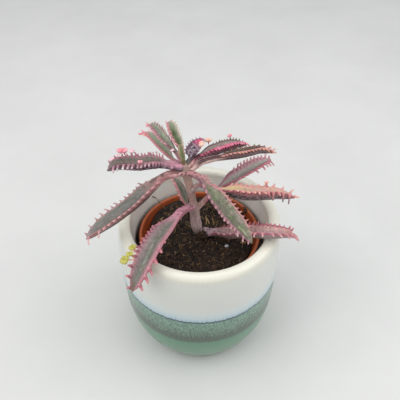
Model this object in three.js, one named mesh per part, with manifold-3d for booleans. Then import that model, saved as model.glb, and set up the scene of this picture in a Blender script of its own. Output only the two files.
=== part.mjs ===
// A young pink butterflies kalanchoe (Kalanchoe x houghtonii type, a pink
// margined sport) in a thin-walled nursery pot, dropped into a banded ceramic
// cachepot.  Millimetres, +Z up, origin at the middle of the cachepot's foot.
import * as THREE from 'three';
import { mergeVertices } from 'three/addons/utils/BufferGeometryUtils.js';
import Module from 'manifold-3d';

const wasm = await Module();
wasm.setup();

// ------------------------------------------------------------ dimensions
const CACHEPOT_HEIGHT = 140.5;
const LIP_ROUND = 5.1;            // radius of the fat rolled lip
const LIP_CENTRE_R = 63.8;
const CACHEPOT_FLOOR = 9.7;       // height of the floor inside
const CACHEPOT_SEGMENTS = 40;

const NURSERY_RIM_R = 52.5;       // a 10.5 cm nursery pot
const NURSERY_BASE_Z = 10.0;      // stands on the cachepot floor
const NURSERY_RIM_Z = 121.0;
const NURSERY_SEGMENTS = 32;
const DRAIN_HOLES = 6;
const DRAIN_R = 3.5;
const DRAIN_RING_R = 25;

const SOIL_BOTTOM_Z = 11.95;
const SOIL_SEGMENTS = 28;

const STEM_BURIED_Z = 102;        // the cutting goes this deep
const STEM_TOP_Z = 194.4;
const PETIOLE_HALF = 2.0;         // half width of a leaf stalk
const LEAF_THICKNESS = 2.3;       // succulent blade at the midrib
const JOINT_GAP = 0.4;            // leaf base to stem

// stem centre line [x, y, z] and radius up the plant
const STEM_LINE = [
  [-1.4, 4, STEM_BURIED_Z], [-1.9, 4, 114], [-3.1, 4, 128.3], [-4.5, 4, 143], [-5.9, 4, 156.9],
  [-7.8, 4, 169.1], [-9.8, 4, 179.3], [-11.7, 4, 188.6], [-12.4, 4, STEM_TOP_Z + 0.6],
];
const STEM_RADIUS = [
  [STEM_BURIED_Z, 1.9], [112, 2.0], [116, 3.2], [120, 4.3], [124, 4.8], [132, 4.4], [138, 4.2], [143, 4.3],
  [148, 3.6], [156, 3.0], [163, 3.2], [167, 3.6], [171, 3.2], [179, 3.6], [187, 3.9], [192, 3.4], [STEM_TOP_Z, 2.5],
];

// Each leaf: midrib points from stalk to tip, half width of the unfolded
// blade, fold of each half above the flat (degrees), roll about the midrib at
// the base and at the tip (degrees), share of the length that is stalk, and
// how many teeth each margin carries.
const LEAVES = {
  leaf_far_left:       { pts: [[-15.2, 3.7, 190.8],[-23.4, 3.6, 191.3],[-31.4, 2.4, 191.8],[-39.4, 0.9, 191.8],[-47.5, 0.0, 191.4],[-55.7, 0.2, 191.7],[-63.8, 0.0, 192.0],[-71.7, -1.9, 191.2]], half: 9.9, fold: 54, roll: [14, -3], petiole: 0.14, teeth: 12 },
  leaf_upper_left_a:   { pts: [[-13.0, 7.2, 185.0],[-19.1, 18.6, 182.9],[-25.1, 30.3, 179.3],[-31.0, 42.1, 176.3],[-36.6, 54.1, 173.5],[-42.0, 66.2, 170.6],[-47.4, 78.2, 167.3],[-52.9, 90.0, 163.5]], half: 6.5, fold: 42, roll: [7, 8], petiole: 0.20, teeth: 13 },
  leaf_upper_left_b:   { pts: [[-13.4, 7.0, 189.4],[-17.3, 15.8, 192.4],[-22.4, 24.1, 192.9],[-28.2, 31.9, 192.9],[-32.8, 40.5, 192.6],[-36.5, 49.4, 191.7],[-40.3, 58.2, 189.9],[-44.0, 66.9, 187.5]], half: 6.6, fold: 54, roll: [-3, -6], petiole: 0.20, teeth: 11 },
  leaf_top:            { pts: [[-12.8, 6.9, 193.4],[-13.7, 13.6, 196.1],[-15.6, 20.0, 197.3],[-18.4, 26.1, 198.8],[-20.8, 32.3, 200.0],[-22.6, 38.8, 200.6],[-24.2, 45.5, 200.7],[-25.7, 52.1, 200.6]], half: 5.9, fold: 49, roll: [0, -1], petiole: 0.16, teeth: 9 },
  leaf_young:          { pts: [[-12.6, 3.6, 195.2],[-13.4, 4.6, 198.5],[-14.1, 5.9, 202.0],[-14.6, 8.0, 204.6],[-14.8, 11.5, 206.4]], half: 2.9, fold: 41, roll: [0, 0], petiole: 0.15, teeth: 4 },
  leaf_back_right:     { pts: [[-9.3, 6.2, 193.0],[-6.8, 8.9, 194.6],[-4.0, 14.7, 196.3],[-0.3, 18.8, 199.9],[3.1, 23.5, 203.3]], half: 7.3, fold: 35, roll: [-12, -13], petiole: 0.14, teeth: 6 },
  leaf_right_magenta:  { pts: [[-9.2, 6.0, 189.6],[-2.6, 11.7, 192.4],[5.0, 16.2, 191.5],[12.3, 20.9, 189.9],[19.2, 26.2, 188.6],[26.3, 31.5, 187.5],[33.2, 36.7, 185.8],[40.0, 41.9, 183.5]], half: 8.2, fold: 62, roll: [-6, -8], petiole: 0.16, teeth: 12 },
  leaf_right_orange:   { pts: [[-7.9, 5.4, 185.4],[1.8, 9.9, 189.8],[11.7, 15.2, 189.2],[21.7, 19.6, 186.7],[32.0, 23.7, 184.6],[42.1, 28.6, 183.4],[51.9, 33.9, 182.2],[62.1, 37.2, 178.9]], half: 6.8, fold: 64, roll: [-10, -8], petiole: 0.34, teeth: 11 },
  leaf_back_grey:      { pts: [[-1.2, 6.2, 143.5],[7.0, 11.6, 149.7],[15.8, 17.8, 154.0],[25.6, 23.7, 156.5],[35.5, 29.5, 158.3],[45.1, 35.8, 160.2],[54.6, 42.4, 161.5],[64.2, 48.9, 161.5]], half: 8.5, fold: 38, roll: [-3, 0], petiole: 0.30, teeth: 11 },
  leaf_front_right:    { pts: [[-8.3, 1.7, 186.0],[0.1, -5.1, 186.3],[6.4, -10.3, 178.9],[13.2, -15.8, 171.9],[19.9, -21.1, 164.9],[27.2, -27.1, 159.0],[34.8, -32.6, 152.9],[41.8, -36.3, 145.1]], half: 9.3, fold: 28, roll: [-4, 0], petiole: 0.10, teeth: 12 },
  leaf_low_right:      { pts: [[3.7, 3.2, 116.9],[16.1, -2.0, 118.6],[26.6, -11.0, 125.0],[35.7, -17.1, 132.6],[44.7, -23.8, 139.8],[55.5, -29.3, 145.2],[68.4, -28.2, 144.8],[76.3, -19.6, 138.7]], half: 10.4, fold: 52, roll: [-6, -11], petiole: 0.02, teeth: 14 },
  leaf_salmon:         { pts: [[-6.2, 0.8, 167.5],[-0.7, 0.3, 174.2],[9.0, 0.3, 171.8],[22.4, 1.3, 164.1],[35.9, -1.0, 161.1],[49.9, -1.5, 161.3],[63.7, -2.3, 163.3],[77.7, -3.2, 164.1]], half: 10.6, fold: 53, roll: [-1, -10], petiole: 0.27, teeth: 12 },
  leaf_big_left:       { pts: [[-14.4, 2.3, 185.6],[-26.6, -2.3, 184.0],[-36.1, -7.8, 176.3],[-45.4, -13.1, 168.4],[-55.7, -18.1, 161.6],[-66.6, -23.5, 156.0],[-77.9, -28.7, 151.1],[-89.7, -32.5, 146.2]], half: 10.6, fold: 49, roll: [8, 2], petiole: 0.12, teeth: 14 },
  leaf_front_left:     { pts: [[-6.8, 0.7, 144.0],[-14.3, -8.0, 151.4],[-21.0, -19.8, 152.9],[-28.0, -31.6, 153.0],[-34.2, -43.7, 152.2],[-39.6, -55.9, 149.0],[-45.4, -64.7, 140.6],[-50.9, -71.8, 130.3]], half: 9.7, fold: 22, roll: [15, 5], petiole: 0.20, teeth: 12 },
  leaf_rising_left:    { pts: [[-6.8, 7.2, 139.5],[-12.1, 12.2, 143.8],[-15.3, 17.0, 149.8],[-18.7, 21.7, 156.0],[-23.6, 27.6, 159.4]], half: 5.4, fold: 36, roll: [-3, -2], petiole: 0.20, teeth: 7 },
};

// Bulbils: small plantlets carried on short stalks at the leaf margins.  at is
// the middle of the larger of their two leaflets, size its half length and half
// width, and foot the place where the stalk stops just off the margin.
const PLANTLETS = [
  { name: 'plantlet_far_left_large',    at: [-59.6, 7.9, 202.6], foot: [-57.27, 6.46, 199.95], turn: 10, size: [3.6, 2.0], kind: 'pink' },
  { name: 'plantlet_far_left_round',    at: [-52.5, 8.4, 202.4], foot: [-53.11, 6.91, 200.09], turn: 70, size: [1.8, 1.6], kind: 'pale' },
  { name: 'plantlet_far_left_small',    at: [-63.1, 5.6, 199.9], foot: [-61.89, 5.02, 198.69], turn: 0, size: [1.6, 1.1], kind: 'pale' },
  { name: 'plantlet_far_left_tip',      at: [-67.9, 3.8, 198.1], foot: [-66.64, 3.52, 197.46], turn: 30, size: [1.5, 1.1], kind: 'pale' },
  { name: 'plantlet_far_left_near',     at: [-44.7, -5.2, 202.5], foot: [-45.22, -5.38, 201.01], turn: 15, size: [2.1, 1.7], kind: 'pink' },
  { name: 'plantlet_upper_left_curl',   at: [-56.1, 84.4, 164.8], foot: [-52.92, 85.25, 166.24], turn: 150, size: [2.0, 1.4], kind: 'pink' },
  { name: 'plantlet_upper_left_peach',  at: [-50.6, 71.1, 172.6], foot: [-49.08, 71.57, 173.31], turn: 120, size: [1.7, 1.3], kind: 'peach' },
  { name: 'plantlet_upper_left_pink',   at: [-45.1, 56.1, 193.6], foot: [-43.65, 56.76, 193.59], turn: 60, size: [1.6, 1.5], kind: 'pink' },
  { name: 'plantlet_crown_pale',        at: [-21.6, 17.0, 196.4], foot: [-20.57, 17.93, 194.52], turn: 45, size: [1.8, 1.6], kind: 'pale' },
  { name: 'plantlet_back_peach_a',      at: [1.7, 11.6, 206.6], foot: [1.12, 11.99, 203.90], turn: 80, size: [2.3, 2.1], kind: 'peach' },
  { name: 'plantlet_back_peach_b',      at: [7.1, 25.4, 200.4], foot: [7.49, 24.24, 198.24], turn: 20, size: [2.4, 2.0], kind: 'peach' },
  { name: 'plantlet_right_pink',        at: [25.0, 37.6, 196.0], foot: [25.65, 37.23, 194.24], turn: 35, size: [1.9, 1.3], kind: 'pink' },
  { name: 'plantlet_salmon',            at: [54.8, 7.0, 171.2], foot: [55.54, 5.61, 169.60], turn: 0, size: [2.2, 1.5], kind: 'peach' },
  { name: 'plantlet_green_upper',       at: [-50.9, -48.0, 154.0], foot: [-47.77, -49.75, 152.13], turn: 60, size: [2.4, 2.2], kind: 'green' },
  { name: 'plantlet_green_middle',      at: [-52.6, -53.0, 152.0], foot: [-49.60, -54.26, 149.69], turn: 20, size: [1.9, 1.7], kind: 'green' },
  { name: 'plantlet_green_lower',       at: [-56.4, -57.2, 150.2], foot: [-50.77, -55.56, 148.73], turn: 75, size: [2.9, 2.6], kind: 'green' },
];
const PLANTLET_COLOURS = { pink: 0xe08a98, pale: 0xecc3cc, peach: 0xf2b8a6, green: 0xb9b24e };

const LEAF_COLOURS = {
  leaf_far_left: 0x7f6f72, leaf_upper_left_a: 0x98777c, leaf_upper_left_b: 0x8a7b80, leaf_top: 0x71805c,
  leaf_young: 0x77764f, leaf_back_right: 0x6f4f60, leaf_right_magenta: 0xa2576f, leaf_right_orange: 0x7a5a52,
  leaf_back_grey: 0x93828a, leaf_front_right: 0x848a70, leaf_low_right: 0xa9848f, leaf_salmon: 0xcc9a88,
  leaf_big_left: 0x86807c, leaf_front_left: 0x9d7a84, leaf_rising_left: 0x87907a,
};

// Grit on the peat: [name, x, y, z, radius]
const PERLITE = [
  ['perlite_grain_front', 23.5, -13.1, 116.2, 1.4],
  ['perlite_grain_left', -21.3, 13.4, 116.0, 0.9],
  ['perlite_grain_right', 30.2, 13.0, 115.6, 0.8],
];

// --------------------------------------------------------------- helpers
const rad = THREE.MathUtils.degToRad;
const V = (a) => new THREE.Vector3(a[0], a[1], a[2]);

// linear table look-up: rows are [key, value]
function table(rows, k) {
  if (k <= rows[0][0]) return rows[0][1];
  for (let i = 1; i < rows.length; i++) {
    if (k <= rows[i][0]) {
      const [a, va] = rows[i - 1], [b, vb] = rows[i];
      return va + (vb - va) * (k - a) / (b - a);
    }
  }
  return rows[rows.length - 1][1];
}

// keep position only and weld the seam, so the surface is one closed skin
function weld(geometry) {
  const g = geometry.clone();
  g.deleteAttribute('normal');
  g.deleteAttribute('uv');
  return mergeVertices(g, 1e-4);
}

function toSolid(geometry) {
  const g = weld(geometry);
  return new wasm.Manifold(new wasm.Mesh({
    numProp: 3,
    vertProperties: new Float32Array(g.attributes.position.array),
    triVerts: new Uint32Array(g.index.array),
  }));
}

function fromSolid(solid) {
  const m = solid.getMesh();
  const g = new THREE.BufferGeometry();
  g.setAttribute('position', new THREE.BufferAttribute(new Float32Array(m.vertProperties), 3));
  g.setIndex(new THREE.BufferAttribute(new Uint32Array(m.triVerts), 1));
  g.computeVertexNormals();
  return g;
}

// a turned shape about +Z from [radius, height] points
function turned(profile, segments) {
  const g = new THREE.LatheGeometry(profile.map(([r, z]) => new THREE.Vector2(r, z)), segments);
  g.rotateX(Math.PI / 2);
  return weld(g);
}

// A rod-like skin: the rings of a capped cylinder are laid along a sweep.
// place(ring, angleIndex) gives a surface point, centre(ring) the cap centre.
function skin(sides, rings, place, centre) {
  const g = new THREE.CylinderGeometry(1, 1, 1, sides, rings - 1, false);
  const p = g.attributes.position;
  for (let i = 0; i < p.count; i++) {
    const x = p.getX(i), y = p.getY(i), z = p.getZ(i);
    const ring = Math.round((y + 0.5) * (rings - 1));
    let v;
    if (Math.hypot(x, z) < 0.5) {
      v = centre(ring);
    } else {
      let k = Math.round(Math.atan2(x, z) / (2 * Math.PI / sides));
      k = ((k % sides) + sides) % sides;
      v = place(ring, k);
    }
    p.setXYZ(i, v.x, v.y, v.z);
  }
  const w = weld(g);
  w.computeVertexNormals();
  return w;
}

const stemCurveX = STEM_LINE.map(([x, , z]) => [z, x]);
const stemAt = (z) => new THREE.Vector3(table(stemCurveX, z), 4, z);
const stemRadius = (z) => table(STEM_RADIUS, z);

// ----------------------------------------------------------------- leaf
function bladeHalfWidth(spec, s) {
  const t = THREE.MathUtils.clamp((s - spec.petiole) / (1 - spec.petiole), 0, 1);
  const u = THREE.MathUtils.clamp(t / 0.30, 0, 1);
  const rise = u * u * (3 - 2 * u);
  const fall = t > 0.45 ? Math.pow(Math.max(0, 1 - Math.pow((t - 0.45) / 0.55, 2.4)), 0.8) : 1;
  return Math.max((PETIOLE_HALF + (spec.half - PETIOLE_HALF) * rise) * fall, 0.45);
}

function leafFrame(spec, curve, s) {
  const P = curve.getPointAt(s), T = curve.getTangentAt(s).normalize();
  const a = V(spec.pts[0]), b = V(spec.pts[spec.pts.length - 1]);
  const az = Math.atan2(b.y - a.y, b.x - a.x);
  const side = new THREE.Vector3(-Math.sin(az), Math.cos(az), 0);
  side.addScaledVector(T, -side.dot(T)).normalize();
  const up = new THREE.Vector3().crossVectors(T, side);
  const r = rad(spec.roll[0] + (spec.roll[1] - spec.roll[0]) * s);
  const lat = side.clone().multiplyScalar(Math.cos(r)).addScaledVector(up, Math.sin(r));
  const nor = side.clone().multiplyScalar(-Math.sin(r)).addScaledVector(up, Math.cos(r));
  return { P, T, lat, nor };
}

// the eight corners of a leaf's section, counter-clockwise seen from the tip
function leafSection(spec, curve, s, toothed) {
  const { P, lat, nor } = leafFrame(spec, curve, s);
  const w = bladeHalfWidth(spec, s);
  const fold = rad(spec.fold) * THREE.MathUtils.clamp(s / 0.15, 0.3, 1);
  const thick = LEAF_THICKNESS * (0.35 + 0.65 * Math.min(1, w / 4));
  const c = Math.cos(fold), q = Math.sin(fold);
  const at = (sgn, along, off) => P.clone()
    .addScaledVector(lat, sgn * along * c).addScaledVector(nor, along * q)
    .addScaledVector(lat, -sgn * off * q).addScaledVector(nor, off * c);
  const reach = w + toothed;
  const half = thick / 2;
  return [
    at(1, reach, 0), at(1, 0.58 * w, half * 0.8), P.clone().addScaledVector(nor, half * (0.75 + 0.5 * q)), at(-1, 0.58 * w, half * 0.8),
    at(-1, reach, 0), at(-1, 0.58 * w, -half * 0.8), P.clone().addScaledVector(nor, -half * 1.1), at(1, 0.58 * w, -half * 0.8),
  ];
}

function leafGeometry(spec) {
  const curve = new THREE.CatmullRomCurve3(spec.pts.map(V), false, 'centripetal');
  curve.arcLengthDivisions = 400;
  // start where the whole stalk end is clear of the stem's skin
  let s0 = 0;
  const clear = (s) => leafSection(spec, curve, s, 0).every((v) => {
    if (v.z > STEM_TOP_Z + JOINT_GAP || v.z < STEM_BURIED_Z) return true;
    const a = stemAt(v.z);
    return Math.hypot(v.x - a.x, v.y - a.y) > stemRadius(v.z) + JOINT_GAP;
  });
  while (!clear(s0) && s0 < 0.2) s0 += 0.002;
  const stations = [];
  const first = Math.max(spec.petiole, s0) + 0.04;
  const stalk = spec.petiole > 0.25 ? 4 : 2;
  for (let i = 0; i <= stalk; i++) stations.push([s0 + (first - s0) * i / stalk, 0]);
  const pitch = (0.965 - first) / spec.teeth;
  for (let i = 0; i < spec.teeth; i++) {
    const a = first + pitch * i;
    stations.push([a + pitch * 0.68, 0.9 + 0.5 * ((i * 7) % 3) / 2]);
    stations.push([a + pitch, 0]);
  }
  stations.push([1, 0]);
  const sections = stations.map(([s, tooth]) => leafSection(spec, curve, Math.min(s, 1), tooth));
  const mid = (r) => sections[r].reduce((m, v) => m.add(v), new THREE.Vector3()).multiplyScalar(1 / 8);
  return skin(8, sections.length, (r, k) => sections[r][k], mid);
}

// ----------------------------------------------------------------- stem
function stemGeometry() {
  const zs = [STEM_BURIED_Z, 111, 114, 117, 120, 124, 131, 138, 143, 148, 156, 163, 167, 171, 179, 187, 191, 193.2, STEM_TOP_Z];
  return skin(10, zs.length,
    (r, k) => {
      const a = stemAt(zs[r]), R = stemRadius(zs[r]) * Math.cos(Math.PI / 10 * 0.4);
      const t = 2 * Math.PI * k / 10;
      return new THREE.Vector3(a.x + R * Math.cos(t), a.y + R * Math.sin(t), a.z);
    },
    (r) => stemAt(zs[r]));
}

// ----------------------------------------------------------------- pots
function cachepotGeometry() {
  const outer = [[0, 0], [50.4, 0], [52.4, 0.9], [54.0, 2.8], [56.2, 7.0], [60.6, 16.2], [64.3, 25.0], [66.9, 33.9], [69.2, 47.0],
    [70.3, 66.0], [70.8, 88.0], [71.0, 108.3], [70.3, 124.0]];
  const lip = [];
  for (let i = 0; i <= 6; i++) {
    const a = Math.PI * i / 6;
    lip.push([LIP_CENTRE_R + LIP_ROUND * Math.cos(a), CACHEPOT_HEIGHT - LIP_ROUND + LIP_ROUND * Math.sin(a)]);
  }
  const inner = [[59.0, 129], [60.3, 119], [62.2, 104], [63.0, 84], [62.5, 60], [60.0, 40], [54.5, 22], [48.5, 13], [42, CACHEPOT_FLOOR], [0, CACHEPOT_FLOOR]];
  return turned([...outer, ...lip, ...inner], CACHEPOT_SEGMENTS);
}

function nurseryPotGeometry() {
  const Z = NURSERY_RIM_Z, R = NURSERY_RIM_R, B = NURSERY_BASE_Z;
  const pot = toSolid(turned([
    [0, B], [37.5, B], [38.8, B + 1.2], [48.0, 106], [49.6, 108.6], [51.5, Z - 2.0], [R, Z - 1.4], [R, Z - 0.4], [R - 0.6, Z],
    [R - 1.8, Z], [R - 2.4, Z - 0.7], [47.5, 112.3], [46.4, 108.6], [37.4, B + 3.2], [36.4, B + 1.6], [0, B + 1.6],
  ], NURSERY_SEGMENTS));
  let holed = pot;
  for (let i = 0; i < DRAIN_HOLES; i++) {
    const a = 2 * Math.PI * (i + 0.5) / DRAIN_HOLES;
    const drill = new THREE.CylinderGeometry(DRAIN_R, DRAIN_R, 8, 10);
    drill.rotateX(Math.PI / 2);
    drill.translate(DRAIN_RING_R * Math.cos(a), DRAIN_RING_R * Math.sin(a), B + 1);
    holed = holed.subtract(toSolid(drill));
  }
  return fromSolid(holed);
}

// ----------------------------------------------------------------- soil
function soilGeometry() {
  const g = turned([
    [0, SOIL_BOTTOM_Z], [35.9, SOIL_BOTTOM_Z], [36.9, 13.8], [45.7, 108.4], [46.5, 111.9],
    [46.2, 112.6], [41, 113.4], [34, 114.0], [26, 114.4], [17, 114.8], [8, 114.7], [0, 114.6],
  ], SOIL_SEGMENTS);
  // lumpy top
  const p = g.attributes.position;
  for (let i = 0; i < p.count; i++) {
    const x = p.getX(i), y = p.getY(i), z = p.getZ(i), r = Math.hypot(x, y);
    if (z > 113 && r < 44) {
      const n = Math.sin(x * 0.31 + 1.3) * Math.cos(y * 0.27 - 0.4) + 0.6 * Math.sin(x * 0.11 - y * 0.19 + 2.0);
      p.setZ(i, z + 0.55 * n * Math.min(1, (44 - r) / 10));
    }
  }
  // socket that the buried stem stands in
  const a = stemAt(108);
  const socket = new THREE.CylinderGeometry(4.4, 3.0, 20, 12);
  socket.rotateX(Math.PI / 2);
  socket.translate(a.x, a.y, STEM_BURIED_Z - 0.6 + 10);
  return fromSolid(toSolid(g).subtract(toSolid(socket)));
}

// ------------------------------------------------------------ plantlets
function plantletGeometry({ at, foot, size: [a, b], turn }) {
  const leaflet = (len, wid, dx, dy, dz, spin) => {
    const s = new THREE.SphereGeometry(1, 7, 5);
    s.scale(len, wid, wid * 0.72);
    s.rotateZ(rad(spin));
    s.translate(dx, dy, dz);
    return toSolid(s);
  };
  const reach = V(foot).sub(V(at));
  const stalk = new THREE.CylinderGeometry(0.4, 0.55, reach.length(), 5);
  stalk.translate(0, reach.length() / 2, 0);
  stalk.applyQuaternion(new THREE.Quaternion().setFromUnitVectors(new THREE.Vector3(0, 1, 0), reach.clone().normalize()));
  const joined = leaflet(a, b, 0, 0, 0, turn)
    .add(leaflet(a * 0.72, b * 0.7, a * 0.25, b * 0.3, b * 0.45, turn + 70))
    .add(toSolid(stalk));
  return fromSolid(joined);
}

function perliteGeometry(r) {
  const g = new THREE.IcosahedronGeometry(r, 1);
  g.scale(1.15, 0.9, 0.75);
  return weld(g);
}

// ---------------------------------------------------------------- scene
const part = new THREE.Group();

function add(name, geometry, colour, roughness, at = [0, 0, 0]) {
  const g = geometry.attributes.normal ? geometry : (geometry.computeVertexNormals(), geometry);
  const mesh = new THREE.Mesh(g, new THREE.MeshStandardMaterial({ color: colour, roughness, metalness: 0 }));
  mesh.name = name;
  mesh.position.set(at[0], at[1], at[2]);
  part.add(mesh);
  return mesh;
}

add('cachepot', cachepotGeometry(), 0xdfe2de, 0.22);
add('nursery_pot', nurseryPotGeometry(), 0x7c3a1c, 0.5);
add('potting_soil', soilGeometry(), 0x241a14, 0.95);
add('stem', stemGeometry(), 0x8c7577, 0.7);

const plant = new THREE.Group();
part.add(plant);
for (const [name, spec] of Object.entries(LEAVES)) {
  const leaf = new THREE.Mesh(leafGeometry(spec),
    new THREE.MeshStandardMaterial({ color: LEAF_COLOURS[name], roughness: 0.6, metalness: 0 }));
  leaf.name = name;
  plant.add(leaf);
}
for (const spec of PLANTLETS) {
  add(spec.name, plantletGeometry(spec), PLANTLET_COLOURS[spec.kind], 0.5, spec.at);
}
for (const [name, x, y, z, r] of PERLITE) add(name, perliteGeometry(r), 0xd9dadb, 0.9, [x, y, z]);

// a dry rootlet washed up over the nursery rim at the back left
const rootlet = new THREE.CatmullRomCurve3([
  new THREE.Vector3(-42.9, 37.5, 127.2), new THREE.Vector3(-39.6, 37.0, 125.0), new THREE.Vector3(-36.6, 34.6, 122.6), new THREE.Vector3(-33.5, 31.0, 120.6),
]);
const thread = new THREE.Shape();
thread.absarc(0, 0, 0.5, 0, 2 * Math.PI, false);
add('dry_rootlet', weld(new THREE.ExtrudeGeometry(thread, { steps: 8, curveSegments: 3, extrudePath: rootlet })), 0x3a2c1e, 0.9);

// a crumb of peat left on the nursery rim at the right
add('peat_crumb', perliteGeometry(1.5), 0x1f1611, 0.95, [43.6, 27.6, 122.5]);

export default part;
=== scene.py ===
"""Potted kalanchoe: a variegated, toothed succulent in a plastic nursery pot inside a glazed cachepot.

Lengths in the tables are millimetres; meshes are written in metres. +Z up, the foot of the cachepot at the origin.
"""
import math

import bpy
from mathutils import Matrix, Vector
import numpy as np


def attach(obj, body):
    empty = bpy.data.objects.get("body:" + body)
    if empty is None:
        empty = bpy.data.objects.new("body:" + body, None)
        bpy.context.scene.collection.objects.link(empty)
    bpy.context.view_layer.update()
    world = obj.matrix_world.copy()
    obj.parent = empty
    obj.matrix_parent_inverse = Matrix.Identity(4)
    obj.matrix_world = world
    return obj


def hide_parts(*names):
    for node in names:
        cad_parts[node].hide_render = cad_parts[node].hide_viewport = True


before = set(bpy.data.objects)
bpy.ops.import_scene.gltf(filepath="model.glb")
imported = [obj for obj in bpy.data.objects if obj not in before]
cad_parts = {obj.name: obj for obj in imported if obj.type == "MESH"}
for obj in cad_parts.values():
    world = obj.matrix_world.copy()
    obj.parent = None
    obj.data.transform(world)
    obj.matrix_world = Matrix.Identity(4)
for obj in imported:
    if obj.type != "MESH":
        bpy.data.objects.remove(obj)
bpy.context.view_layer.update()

SCENE = bpy.context.scene
MM = 0.001

# ---------------------------------------------------------------- camera

CAM_AT = (0.0005, -0.2901, 0.4285)
CAM_DOWN = 42.96      # degrees below the horizon, looking along +Y
CAM_LENS = 43.2       # 36 mm wide sensor

cam_data = bpy.data.cameras.new("camera")
cam_data.lens = CAM_LENS
cam_data.sensor_width = 36.0
cam_data.sensor_fit = "HORIZONTAL"
cam_data.clip_start = 0.01
cam_data.clip_end = 20.0
cam = bpy.data.objects.new("camera", cam_data)
cam.location = CAM_AT
cam.rotation_euler = (math.radians(90.0 - CAM_DOWN), 0.0, 0.0)
SCENE.collection.objects.link(cam)
SCENE.camera = cam

# ---------------------------------------------------------------- small tools


def lin(rgb):
    """0..255 display colour to linear rgba."""
    out = []
    for v in rgb:
        v = v / 255.0
        out.append(v / 12.92 if v <= 0.04045 else ((v + 0.055) / 1.055) ** 2.4)
    return (*out, 1.0)


def smooth(a, b, x):
    t = np.clip((x - a) / (b - a), 0.0, 1.0)
    return t * t * (3.0 - 2.0 * t)


def wave_noise(p, seed, scale, octaves=3):
    """Cheap smooth noise in -1..1 from turned sine waves, the same on each run."""
    rng = np.random.default_rng(seed)
    out = np.zeros(len(p))
    amp, total, k = 1.0, 0.0, 1.0 / scale
    for _ in range(octaves):
        for _ in range(4):
            d = rng.normal(size=3)
            d /= np.linalg.norm(d)
            out += amp * np.sin(p @ (d * k * rng.uniform(0.7, 1.35) * 2 * math.pi) + rng.uniform(0, 6.283))
        total += amp * 1.6
        amp *= 0.55
        k *= 2.07
    return out / total


def vertex_normals(v, f):
    """v (n,3), f list of (m,k) index arrays."""
    n = np.zeros_like(v)
    for faces in f:
        k = faces.shape[1]
        a = v[faces[:, 0]]
        b = v[faces[:, 1]]
        c = v[faces[:, 2]]
        nn = np.cross(b - a, c - a)
        if k == 4:
            d = v[faces[:, 3]]
            nn = np.cross(c - a, d - b)
        for j in range(k):
            for ax in range(3):
                n[:, ax] += np.bincount(faces[:, j], nn[:, ax], len(v))
    ln = np.linalg.norm(n, axis=1)
    ln[ln == 0] = 1.0
    return n / ln[:, None]


def raw_mesh(name, v, faces):
    """Mesh data from vertices and a list of face arrays (tris and quads)."""
    me = bpy.data.meshes.new(name)
    loops = np.concatenate([f.reshape(-1) for f in faces]).astype(np.int32)
    totals = np.concatenate([np.full(len(f), f.shape[1], np.int32) for f in faces])
    starts = np.concatenate([[0], np.cumsum(totals)[:-1]]).astype(np.int32)
    me.vertices.add(len(v))
    me.vertices.foreach_set("co", np.ascontiguousarray(v, np.float32).reshape(-1))
    me.loops.add(len(loops))
    me.loops.foreach_set("vertex_index", loops)
    me.polygons.add(len(totals))
    me.polygons.foreach_set("loop_start", starts)
    me.polygons.foreach_set("loop_total", totals)
    me.update(calc_edges=True)
    me.validate()
    return me


def read_mesh(me):
    v = np.empty(len(me.vertices) * 3, np.float32)
    me.vertices.foreach_get("co", v)
    lt = np.empty(len(me.polygons), np.int32)
    me.polygons.foreach_get("loop_total", lt)
    ls = np.empty(len(me.polygons), np.int32)
    me.polygons.foreach_get("loop_start", ls)
    li = np.empty(len(me.loops), np.int32)
    me.loops.foreach_get("vertex_index", li)
    faces = []
    for k in (3, 4):
        rows = np.where(lt == k)[0]
        if len(rows):
            faces.append(li[ls[rows][:, None] + np.arange(k)])
    return v.reshape(-1, 3).astype(float), faces


def through_modifiers(me, setup):
    """The mesh after modifiers that setup(object) adds."""
    ob = bpy.data.objects.new("scratch", me)
    SCENE.collection.objects.link(ob)
    setup(ob)
    dg = bpy.context.evaluated_depsgraph_get()
    out = bpy.data.meshes.new_from_object(ob.evaluated_get(dg))
    bpy.data.objects.remove(ob)
    bpy.data.meshes.remove(me)
    return out


def fused(v, faces, voxel, relax=3):
    """One skin round overlapping closed shapes: voxel union, then a gentle relax."""
    me = raw_mesh("scratch", v, faces)

    def setup(ob):
        m = ob.modifiers.new("skin", "REMESH")
        m.mode = "VOXEL"
        m.voxel_size = voxel
        m.adaptivity = 0.0

    me = through_modifiers(me, setup)
    v, faces = read_mesh(me)
    bpy.data.meshes.remove(me)
    return relaxed(v, faces, relax), faces


def relaxed(v, faces, rounds, keep=0.55):
    """Laplacian smoothing with most of the shrink given back."""
    e = []
    for f in faces:
        k = f.shape[1]
        e += [f[:, [i, (i + 1) % k]] for i in range(k)]
    e = np.vstack(e)
    a, b = e[:, 0], e[:, 1]
    n = len(v)
    deg = np.bincount(a, minlength=n) + np.bincount(b, minlength=n)
    deg[deg == 0] = 1
    for r in range(rounds):
        for sign in (0.5, -0.5 * keep):
            m = np.empty_like(v)
            for ax in range(3):
                m[:, ax] = np.bincount(a, v[b, ax], n) + np.bincount(b, v[a, ax], n)
            v = v + sign * (m / deg[:, None] - v)
    return v


def thinned(v, faces, ratio):
    me = raw_mesh("scratch", v, faces)

    def setup(ob):
        m = ob.modifiers.new("thin", "DECIMATE")
        m.ratio = ratio
        m.use_collapse_triangulate = True

    me = through_modifiers(me, setup)
    out = read_mesh(me)
    bpy.data.meshes.remove(me)
    return out


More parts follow.
